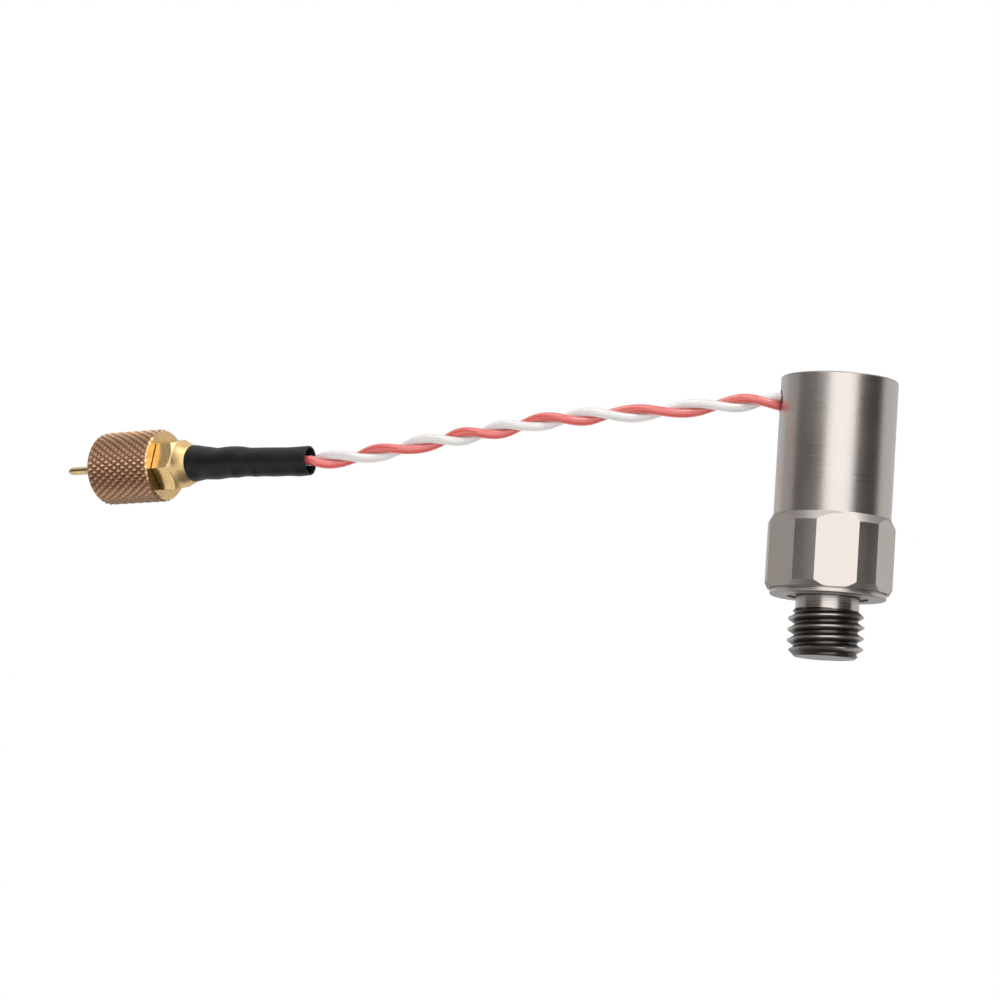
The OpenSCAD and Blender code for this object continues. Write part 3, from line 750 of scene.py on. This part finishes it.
# %% [markdown]
# ## A word on finishes
# Every finish below is a small tree of nodes that ends in the Principled shader. Plain values go
# straight on the shader's sockets. What varies over a surface, such as lathe lines or the dull and
# bright patches of handling, comes from noise textures in the object's own coordinates, so it is the
# same from every side.

# %% Shader
def bare_finish(name):
    """A material with an output node only: returns it, its tree and the output's socket."""
    finish = bpy.data.materials.new(name)
    finish.use_nodes = True
    tree = finish.node_tree
    tree.nodes.clear()
    return finish, tree, tree.nodes.new("ShaderNodeOutputMaterial").inputs["Surface"]


def new_finish(name, colour, metallic, roughness, **sockets):
    """A material with a Principled shader: returns it, its tree and the shader."""
    finish, tree, surface = bare_finish(name)
    shader = tree.nodes.new("ShaderNodeBsdfPrincipled")
    shader.inputs["Base Color"].default_value = (*colour, 1)
    shader.inputs["Metallic"].default_value = metallic
    shader.inputs["Roughness"].default_value = roughness
    for socket, value in sockets.items():
        shader.inputs[socket.replace("_", " ")].default_value = value
    tree.links.new(shader.outputs[0], surface)
    return finish, tree, shader


print("shader helpers ready")

# %% Textures
NOISE_ROUGHNESS = 0.55


def coordinates(tree):
    return tree.nodes.new("ShaderNodeTexCoord").outputs["Object"]


def noise(tree, scale, detail, vector=None, w=None):
    """A noise texture over the object's coordinates, or over one number."""
    node = tree.nodes.new("ShaderNodeTexNoise")
    node.inputs["Scale"].default_value = scale
    node.inputs["Detail"].default_value = detail
    node.inputs["Roughness"].default_value = NOISE_ROUGHNESS
    if w is not None:
        node.noise_dimensions = "1D"
        tree.links.new(w, node.inputs["W"])
    else:
        tree.links.new(vector, node.inputs["Vector"])
    return node.outputs["Fac"]


def attribute(tree, name):
    """A number that the mesh keeps at each of its points."""
    node = tree.nodes.new("ShaderNodeAttribute")
    node.attribute_name = name
    return node.outputs["Fac"]


def bump(tree, shader, height, distance, strength):
    """Fine relief in the surface's shading, from a texture."""
    node = tree.nodes.new("ShaderNodeBump")
    node.inputs["Distance"].default_value = distance
    node.inputs["Strength"].default_value = strength
    tree.links.new(height, node.inputs["Height"])
    tree.links.new(node.outputs["Normal"], shader.inputs["Normal"])


print("texture helpers ready")

# %% Arithmetic on textures
def number(tree, operation, a, b=None):
    """One step of arithmetic on sockets or plain numbers."""
    node = tree.nodes.new("ShaderNodeMath")
    node.operation = operation
    for socket, value in zip(node.inputs, (a, b)):
        if isinstance(value, bpy.types.NodeSocket):
            tree.links.new(value, socket)
        elif value is not None:
            socket.default_value = value
    return node.outputs[0]


def blend(tree, a, b, share):
    """A share of a, and the rest of b."""
    rest = number(tree, "MULTIPLY", b, 1 - share)
    return number(tree, "ADD", number(tree, "MULTIPLY", a, share), rest)


def uneven(tree, value, grain, amount):
    """A value that a grain raises or lowers by up to half the amount."""
    off = number(tree, "MULTIPLY", number(tree, "SUBTRACT", grain, 0.5), amount)
    return number(tree, "ADD", value, off)


def spread(tree, value, low, high):
    """Maps 0 to 1 on to low to high."""
    node = tree.nodes.new("ShaderNodeMapRange")
    tree.links.new(value, node.inputs["Value"])
    node.inputs["To Min"].default_value = low
    node.inputs["To Max"].default_value = high
    return node.outputs["Result"]


print("arithmetic helpers ready")

# %% Colour and gloss from textures
def tint(tree, shader, value, stops):
    """Gives the shader its colour from a ramp of (place, colour) stops."""
    node = tree.nodes.new("ShaderNodeValToRGB")
    tree.links.new(value, node.inputs["Fac"])
    elements = node.color_ramp.elements
    # A new ramp already has two stops
    for i, (at, colour) in enumerate(stops):
        element = elements[i] if i < 2 else elements.new(at)
        element.position = at
        element.color = (*colour, 1)
    tree.links.new(node.outputs["Color"], shader.inputs["Base Color"])


def shades(colour, low, high, reach=0.25):
    """Two stops for a ramp, a reach below and above its middle: the colour made darker and lighter."""
    darker = tuple(low * c for c in colour)
    lighter = tuple(min(1.0, high * c) for c in colour)
    return [(0.5 - reach, darker), (0.5 + reach, lighter)]


def roughen(tree, shader, value, low, high):
    """Lets the shader's roughness run from low to high."""
    tree.links.new(spread(tree, value, low, high), shader.inputs["Roughness"])


print("colour and gloss helpers ready")

# %% [markdown]
# ## Turned stainless steel
# A lathe leaves very fine rings round the axis. On the side they are lines at one height, and on an end
# face they are circles, so noise along height plus radius gives both. The Radial tangent, turned by a
# quarter, stretches highlights across the rings as turned metal does. Soft patches in the roughness
# stand for handling, and a grain breaks the edges of the bands of light on the case. The rim round the
# case's top is rougher and painted darker, a painted shade that makes it read as a thin dark line.

# %% Turned steel
# The second colour is a darker copy of the steel: painted shade on the case's rim, the seat and the
# chamfers
STEEL, SHADED_STEEL = (0.63, 0.575, 0.535), (0.36, 0.33, 0.31)
STEEL_SWING = 0.1
# Faces of the case's rim lean between these shares of straight up
RIM_SIDE, RIM_TOP = 0.1, 0.999
LATHE_STRETCH = {"Anisotropic": 0.3, "Anisotropic_Rotation": 0.25}


def turned_steel(name, roughness, lines, depth, colour=STEEL):
    finish, tree, shader = new_finish(name, colour, 1.0, roughness, **LATHE_STRETCH)
    place = coordinates(tree)
    parts = tree.nodes.new("ShaderNodeSeparateXYZ")
    tree.links.new(place, parts.inputs[0])
    x2 = number(tree, "MULTIPLY", parts.outputs["X"], parts.outputs["X"])
    y2 = number(tree, "MULTIPLY", parts.outputs["Y"], parts.outputs["Y"])
    radius = number(tree, "SQRT", number(tree, "ADD", x2, y2))
    rings = noise(tree, lines, detail=5.0, w=number(tree, "ADD", radius, parts.outputs["Z"]))
    patches = noise(tree, scale=260.0, detail=3.0, vector=place)
    mixed = blend(tree, rings, patches, share=0.6)
    roughen(tree, shader, mixed, roughness - STEEL_SWING, roughness + STEEL_SWING)
    tint(tree, shader, rings, shades(colour, 0.97, 1.03))
    grain = noise(tree, scale=6500.0, detail=2.0, vector=place)
    bump(tree, shader, blend(tree, rings, grain, share=0.4), distance=depth, strength=0.6)
    tangent = tree.nodes.new("ShaderNodeTangent")
    tangent.direction_type = "RADIAL"
    tangent.axis = "Z"
    tree.links.new(tangent.outputs[0], shader.inputs["Tangent"])
    return finish


case_steel = turned_steel("turned_case_steel", 0.3, lines=9000.0, depth=0.024 * MM)
base_steel = turned_steel("turned_base_steel", 0.32, lines=7000.0, depth=0.004 * MM)
# The rim is rougher, and painted darker as a thin line of shade
rim_steel = turned_steel("dull_shaded_rim_steel", 0.4, lines=9000.0, depth=0.004 * MM, colour=SHADED_STEEL)
case.data.materials.append(case_steel)
case.data.materials.append(rim_steel)
base.data.materials.append(base_steel)
for face in case.data.polygons:
    if RIM_SIDE < face.normal.z < RIM_TOP and face.center.z > TOP_Z - CASE_EDGE:
        face.material_index = 1
print("dull faces on the case's rim:", sum(f.material_index for f in case.data.polygons))

# %% [markdown]
# ## Flats and thread
# The hexagon's flats were never turned: they are the drawn skin of the bar, with faint streaks along it.
# The thread is cut last, and is painted darker than the rest, with painted shade in its grooves and
# painted light on its crests; the undercut round the neck gets the same painted shade. The neck is turned
# finest; the seat and the chamfers are coarser, and painted darker as shade. One finish with a mask could
# do all this, but separate finishes, each given to the faces it belongs to, stay simple and keep the
# edges between them sharp.

# %% Drawn flats and dark thread
# Painted shade in the thread's grooves and painted light on its crests
THREAD_SHADE, THREAD_LIGHT = (0.13, 0.118, 0.11), (0.56, 0.52, 0.49)
STREAK_STRETCH = (1, 1, 0.06)


def drawn_steel(name):
    finish, tree, shader = new_finish(name, STEEL, metallic=1.0, roughness=0.3)
    stretch = tree.nodes.new("ShaderNodeMapping")
    stretch.inputs["Scale"].default_value = STREAK_STRETCH
    place = coordinates(tree)
    tree.links.new(place, stretch.inputs["Vector"])
    streaks = noise(tree, scale=5000.0, detail=4.0, vector=stretch.outputs[0])
    roughen(tree, shader, streaks, low=0.24, high=0.36)
    tint(tree, shader, streaks, shades(STEEL, 0.97, 1.03))
    skin = noise(tree, scale=4000.0, detail=3.0, vector=place)
    bump(tree, shader, skin, distance=0.001 * MM, strength=0.3)
    return finish


def shaded_thread(name):
    finish, tree, shader = new_finish(name, THREAD_SHADE, metallic=1.0, roughness=0.34)
    grain = noise(tree, scale=2500.0, detail=4.0, vector=coordinates(tree))
    # Painted light on the crests and painted shade in the grooves, by each point's height
    crest_light = uneven(tree, attribute(tree, "thread_height"), grain, amount=0.3)
    tint(tree, shader, crest_light, [(0.45, THREAD_SHADE), (1.0, THREAD_LIGHT)])
    bump(tree, shader, grain, distance=0.003 * MM, strength=0.3)
    return finish


thread_height = base.data.attributes.new("thread_height", "FLOAT", "POINT")
for vertex, value in zip(base.data.vertices, thread_height.data):
    crest_share = (math.hypot(vertex.co.x, vertex.co.y) - NECK_R) / (STUD_R - NECK_R)
    value.value = crest_share if vertex.co.z < -NECK_LENGTH / 2 else 0.0
neck_steel = turned_steel("turned_neck_steel", 0.28, lines=7000.0, depth=0.003 * MM)
# A rougher turned steel, painted darker as shade, for the seat and the chamfers
dull_shaded_steel = turned_steel("dull_shaded_turned_steel", 0.4, lines=7000.0, depth=0.004 * MM, colour=SHADED_STEEL)
for finish in (drawn_steel("drawn_flat_steel"), shaded_thread("thread_painted_shade_steel"), neck_steel, dull_shaded_steel):
    base.data.materials.append(finish)
print("finishes on the base:", len(base.data.materials))

# %% Faces of each finish
# Places of the finishes in the base's list
ON_FLAT, ON_THREAD_SHADE, ON_NECK, ON_DULL_SHADED = 1, 2, 3, 4
FLAT_FACING, FLAT_OFF = 0.9999, 0.001 * MM
# The seat and the chamfers lean at least this share up or down
DULL_SHADED_LEAN = 0.3


def flat_face(face):
    """Whether a face of the base lies on one of the hexagon's flats."""
    facing = math.degrees(math.atan2(face.normal.y, face.normal.x))
    turn = math.radians(HEX_TURN + SIDE_TURN * round((facing - HEX_TURN) / SIDE_TURN))
    out = Vector((math.cos(turn), math.sin(turn), 0))
    return face.normal.dot(out) > FLAT_FACING and abs(face.center.dot(out) - HEX_FLAT) < FLAT_OFF


def in_undercut(face):
    """Whether a face lies in the undercut round the neck, which gets the thread's painted shade."""
    return 0 < face.center.z < COLLAR_H and math.hypot(face.center.x, face.center.y) < UNDERCUT_R


for face in base.data.polygons:
    z = face.center.z
    if flat_face(face):
        face.material_index = ON_FLAT
    elif STUD_END + FACE_ROOM < z < -NECK_LENGTH - FACE_ROOM or in_undercut(face):
        face.material_index = ON_THREAD_SHADE
    elif -NECK_LENGTH - FACE_ROOM < z < -FACE_ROOM:
        face.material_index = ON_NECK
    elif z < CASE_Z and abs(face.normal.z) > DULL_SHADED_LEAN:
        face.material_index = ON_DULL_SHADED
print("faces on the flats:", sum(f.material_index == ON_FLAT for f in base.data.polygons))

# %% [markdown]
# ## Gold plate and bronzed knurl
# Gold plate over a turned brass body is bright but never quite a mirror, and duller on the faces that
# look back along the plug. The knurled nut is browner, with painted shade in its hollows and painted
# highlights on its tips, which are also smoother. Each point's height on the knurl is kept as an
# attribute, which the finish reads, so the painted shade, the highlights and the smoother tips follow the
# real pyramids.

# %% Gold
GOLD, PALE_GOLD = (0.88, 0.61, 0.29), (0.72, 0.54, 0.28)
GOLD_SWING = 0.08
BACK_LEAN = 0.05


def gold_plate(name, colour, roughness=0.22):
    finish, tree, shader = new_finish(name, colour, 1.0, roughness)
    place = coordinates(tree)
    patches = noise(tree, scale=500.0, detail=3.0, vector=place)
    roughen(tree, shader, patches, roughness - GOLD_SWING, roughness + GOLD_SWING)
    grain = noise(tree, scale=5000.0, detail=3.0, vector=place)
    mottle = number(tree, "MULTIPLY", number(tree, "ADD", patches, grain), 0.5)
    tint(tree, shader, mottle, shades(colour, 0.82, 1.12, reach=0.1))
    bump(tree, shader, grain, distance=0.004 * MM, strength=0.4)
    return finish


gold = gold_plate("gold_plate", GOLD)
plug_hex.data.materials.append(gold)
plug_hex.data.materials.append(gold_plate("brushed_gold_plate", GOLD, roughness=0.42))
pin.data.materials.append(gold_plate("pale_gold_plate", PALE_GOLD))
rear_way = -Vector(plug_dir)
for face in plug_hex.data.polygons:
    if face.normal.dot(rear_way) > BACK_LEAN:
        face.material_index = 1
print("brushed faces on the plug's hexagon:", sum(f.material_index for f in plug_hex.data.polygons))

# %% Bronze
# Painted shade in the knurl's hollows and painted highlights on its tips
BRONZE_SHADE, BRONZE, BRONZE_HIGHLIGHT = (0.36, 0.2, 0.12), (0.52, 0.315, 0.19), (0.7, 0.455, 0.3)
RIM_LEAN = 0.55


def bronzed_knurl(name):
    finish, tree, shader = new_finish(name, BRONZE, metallic=1.0, roughness=0.4)
    grain = noise(tree, scale=2500.0, detail=4.0, vector=coordinates(tree))
    # Painted highlight on the tips and painted shade in the hollows, by height; the tips are smoother too
    tip_light_and_polish = uneven(tree, attribute(tree, "knurl_height"), grain, amount=0.4)
    tint(tree, shader, tip_light_and_polish, [(0.05, BRONZE_SHADE), (0.5, BRONZE), (0.95, BRONZE_HIGHLIGHT)])
    roughen(tree, shader, tip_light_and_polish, low=0.48, high=0.34)
    bump(tree, shader, grain, distance=0.004 * MM, strength=0.3)
    return finish


upright_again = plug_place.inverted()
knurl_height = nut.data.attributes.new("knurl_height", "FLOAT", "POINT")
for vertex, value in zip(nut.data.vertices, knurl_height.data):
    local = upright_again @ vertex.co
    r = math.hypot(local.x, local.y)
    value.value = max(0.0, min(1.0, (r - NUT_R + KNURL_DEPTH) / KNURL_DEPTH))
nut.data.materials.append(bronzed_knurl("bronzed_knurl"))
nut.data.materials.append(gold)
for face in nut.data.polygons:
    if face.normal.dot(rear_way) > RIM_LEAN and (upright_again @ face.center).z < REAR_CHAMFER:
        face.material_index = 1
print("gold faces on the nut:", sum(f.material_index for f in nut.data.polygons))

# %% [markdown]
# ## Wire insulation and heat shrink
# Thin plastic insulation lets a little light in, which softens its shadows: a touch of subsurface
# scattering does that, under a thin glossy coat. Heat shrink is a dull black plastic with a fine grain
# and a soft, broad highlight.

# %% Plastics
RED, WHITE, BLACK = (0.75, 0.135, 0.115), (0.79, 0.77, 0.755), (0.007, 0.007, 0.0075)
LIGHT_REACH = 0.0006
GLOSSY_COAT = {"Coat_Weight": 1.0, "Coat_Roughness": 0.15, "Coat_IOR": 1.65}


def insulation(name, colour):
    finish, tree, shader = new_finish(name, colour, metallic=0.0, roughness=0.2, Subsurface_Weight=0.25,
                                      Subsurface_Scale=LIGHT_REACH, **GLOSSY_COAT)
    place = coordinates(tree)
    patches = noise(tree, scale=700.0, detail=3.0, vector=place)
    tint(tree, shader, patches, shades(colour, 0.93, 1.03))
    roughen(tree, shader, patches, low=0.14, high=0.26)
    grain = noise(tree, scale=2500.0, detail=3.0, vector=place)
    bump(tree, shader, grain, distance=0.003 * MM, strength=0.3)
    return finish


def shrink_plastic(name):
    finish, tree, shader = new_finish(name, BLACK, metallic=0.0, roughness=0.45, Specular_IOR_Level=0.3)
    place = coordinates(tree)
    patches = noise(tree, scale=600.0, detail=4.0, vector=place)
    tint(tree, shader, patches, shades(BLACK, 0.75, 1.3))
    roughen(tree, shader, patches, low=0.36, high=0.55)
    grain = noise(tree, scale=1500.0, detail=5.0, vector=place)
    bump(tree, shader, grain, distance=0.012 * MM, strength=0.4)
    return finish


red_wire.data.materials.append(insulation("red_insulation", RED))
white_wire.data.materials.append(insulation("white_insulation", WHITE))
sleeve.data.materials.append(shrink_plastic("shrunk_plastic"))
print("insulation and heat shrink done")

# %% [markdown]
# ## The pieces inside
# The bush, the ceramic rings, the mass, the board and the plug's inner parts are carried over from the
# frame as they are. They still get finishes of their own, because someone may take the part apart. One
# grained finish serves them all: it takes a colour, a share of metal and a roughness for each.

# %% Inner finishes
INNER = {
    "exit_bush": ((0.012, 0.012, 0.012), 0.0, 0.6), "isolation_disc": ((0.85, 0.84, 0.8), 0.0, 0.5),
    "lower_piezo_ring": ((0.6, 0.5, 0.3), 0.0, 0.55), "upper_piezo_ring": ((0.6, 0.5, 0.3), 0.0, 0.55),
    "centre_electrode": ((0.8, 0.58, 0.26), 1.0, 0.3), "seismic_mass": ((0.42, 0.42, 0.44), 1.0, 0.38),
    "spring_washer": ((0.5, 0.5, 0.52), 1.0, 0.3), "preload_nut": ((0.55, 0.55, 0.56), 1.0, 0.3),
    "post_sleeve": ((0.75, 0.36, 0.08), 0.0, 0.4), "board_carrier": ((0.72, 0.68, 0.55), 0.0, 0.5),
    "board_components": ((0.05, 0.05, 0.055), 0.0, 0.4), "plug_insulator": ((0.88, 0.88, 0.86), 0.0, 0.4),
    "amplifier_board": ((0.03, 0.16, 0.07), 0.0, 0.35), "electrode_lead": ((0.72, 0.48, 0.26), 1.0, 0.3),
    "plug_body": (GOLD, 1.0, 0.22),
}
INNER_SWING = 0.08


def grained(name, colour, metallic, roughness):
    """A finish with a fine grain in its tone, its gloss and its surface."""
    finish, tree, shader = new_finish(name, colour, metallic, roughness)
    grain = noise(tree, scale=1800.0, detail=4.0, vector=coordinates(tree))
    tint(tree, shader, grain, shades(colour, 0.9, 1.08, reach=0.2))
    roughen(tree, shader, grain, roughness - INNER_SWING, roughness + INNER_SWING)
    bump(tree, shader, grain, distance=0.004 * MM, strength=0.3)
    return finish


for node_name, (colour, metallic, roughness) in INNER.items():
    node = frame["nodes"][node_name]
    node.data.materials.clear()
    node.data.materials.append(grained(node_name + "_finish", colour, metallic, roughness))
print("finishes on", len(INNER), "carried-over pieces")

# %% [markdown]
# ## The cords
# The two wires each leave the case through the bush and end at the plug.

print("the wires run from the case to the plug")

# %% [markdown]
# ## Studio
# The sensor hangs in a pale studio with a floor well below it. The world is white where the camera or a
# mirror looks at it, and a plain soft light for everything else, so the background stays clean while
# colours keep their own tone.

# %% World
WORLD_LIGHT = 0.64

scene = bpy.context.scene
scene.view_settings.view_transform = "Standard"
world = bpy.data.worlds.new("studio")
scene.world = world
world.use_nodes = True
sky = world.node_tree
sky.nodes.clear()
path = sky.nodes.new("ShaderNodeLightPath")
mirrored = number(sky, "MAXIMUM", path.outputs["Is Glossy Ray"], path.outputs["Is Transmission Ray"])
seen = number(sky, "MAXIMUM", path.outputs["Is Camera Ray"], mirrored)
backdrop = sky.nodes.new("ShaderNodeBackground")
backdrop.inputs["Color"].default_value = (1, 1, 1, 1)
sky.links.new(spread(sky, seen, WORLD_LIGHT, 1.0), backdrop.inputs["Strength"])
sky_out = sky.nodes.new("ShaderNodeOutputWorld")
sky.links.new(backdrop.outputs[0], sky_out.inputs[0])
print("world lights at", WORLD_LIGHT)

# %% Floor
FLOOR_Z, FLOOR_R = -75 * MM, 0.6
FLOOR_COLUMNS = 96
FLOOR_GREY = (0.9, 0.9, 0.9)

floor_outline = [(0, FLOOR_Z), (FLOOR_R, FLOOR_Z)]
floor = turned("floor", [floor_outline] * FLOOR_COLUMNS, even_angles(FLOOR_COLUMNS))
pale_floor, _, _ = new_finish("pale_floor", FLOOR_GREY, 0.0, 0.9, Specular_IOR_Level=0.0)
floor.data.materials.append(pale_floor)
print("floor lies", round(-FLOOR_Z / MM), "mm below the seat")

# %% [markdown]
# ## Cards
# Polished metal is only as good as what it mirrors. A photographer stands grey and black cards round a
# steel part, and their edges give it the bands that show it is round. Here the cards glow with their own
# plain grey, so their tone in the steel is known, and the camera can't see them.

# %% Card helpers
MIDDLE = Vector((-20 * MM, 5 * MM, 9 * MM))


def glowing(name, level):
    """A plain grey that gives off its own tone."""
    finish, tree, surface = bare_finish(name)
    glow = tree.nodes.new("ShaderNodeEmission")
    glow.inputs["Color"].default_value = (level, level, level, 1)
    tree.links.new(glow.outputs[0], surface)
    return finish


def stand(name, rows, level):
    """A card from two rows of points that only mirrors see: no shadow, and no light on the floor."""
    count = len(rows[0])
    faces = [(i, i + 1, count + i + 1, count + i) for i in range(count - 1)]
    made = mesh_piece(name, rows[0] + rows[1], faces)
    made.data.materials.append(glowing(name + "_grey", level))
    made.visible_camera = False
    made.visible_shadow = False
    made.visible_diffuse = False


def towards(azimuth, elevation):
    """A direction from the sensor, in degrees: azimuth is from the camera's side, to the right."""
    a, e = math.radians(azimuth), math.radians(elevation)
    return Vector((math.sin(a) * math.cos(e), -math.cos(a) * math.cos(e), math.sin(e)))


print("cards stand round", [round(x / MM) for x in MIDDLE], "mm")

# %% Cards
CARD_DISTANCE, CARD_POINTS = 0.45, 17
# Cards: (name, from and to in degrees round from the camera's side, lower and upper edge, grey level)
CARDS = [
    ("left_dark_card", -92, -26, -8, 20, 0.04), ("left_upper_card", -100, -45, 20, 52, 0.4),
    ("left_middle_card", -130, -92, -8, 40, 0.42), ("left_grey_card", -180, -130, -8, 40, 0.62),
    ("right_dark_card", 34, 89, -8, 38, 0.0), ("right_grey_card", 89, 180, -8, 40, 0.66),
    ("back_low_card", 120, 240, -12, -1.5, 0.25),
]
# A dark mat lies on the floor below it, and a grey card hangs above: sides in metres, and grey level
MAT_LEFT, MAT_RIGHT, MAT_NEAR, MAT_FAR, MAT_LEVEL = -0.09, 0.15, -0.09, 0.05, 0.1
ROOF_SIDES, ROOF_Z, ROOF_LEVEL = (-0.2, 0.2), 0.5, 0.45

for name, start, end, low, high, level in CARDS:
    turns = np.linspace(start, end, CARD_POINTS)
    stand(name, [[MIDDLE + CARD_DISTANCE * towards(a, e) for a in turns] for e in (low, high)], level)
mat_z = FLOOR_Z + MM
mat_rows = [[Vector((x, y, mat_z)) for x in (MAT_LEFT, MAT_RIGHT)] for y in (MAT_NEAR, MAT_FAR)]
roof_rows = [[Vector((x, y, ROOF_Z)) for x in ROOF_SIDES] for y in ROOF_SIDES]
stand("dark_mat", mat_rows, MAT_LEVEL)
stand("roof_card", roof_rows, ROOF_LEVEL)
print(len(CARDS) + 2, "cards stand round the sensor")

# %% [markdown]
# ## Lamps
# Three soft boxes light the sensor: a broad one in front, one above on the left, and a stronger one
# high on the right. Each lamp's power is worked out from its brightness and its area, so it can be made
# larger for softer shadows without a change in how bright its face is.

# %% Lamps
LAMP_DISTANCE = 0.5
# Lamps: (name, azimuth, elevation, width, height, brightness)
LAMPS = [("front_softbox", 4, 17, 0.45, 0.5, 0.52), ("top_softbox", -35, 66, 0.3, 0.3, 2),
         ("right_softbox", 50, 58, 0.24, 0.24, 4)]

for name, azimuth, elevation, width, height, brightness in LAMPS:
    data = bpy.data.lights.new(name, "AREA")
    data.shape = "RECTANGLE"
    data.size, data.size_y = width, height
    data.energy = brightness * math.pi * width * height
    lamp = bpy.data.objects.new(name, data)
    way = towards(azimuth, elevation)
    aim = way.to_track_quat("Z", "Y").to_matrix().to_4x4()
    lamp.matrix_world = Matrix.Translation(MIDDLE + LAMP_DISTANCE * way) @ aim
    lamp.visible_camera = False
    bpy.context.collection.objects.link(lamp)
    print(name, "of", round(data.energy, 2), "W")
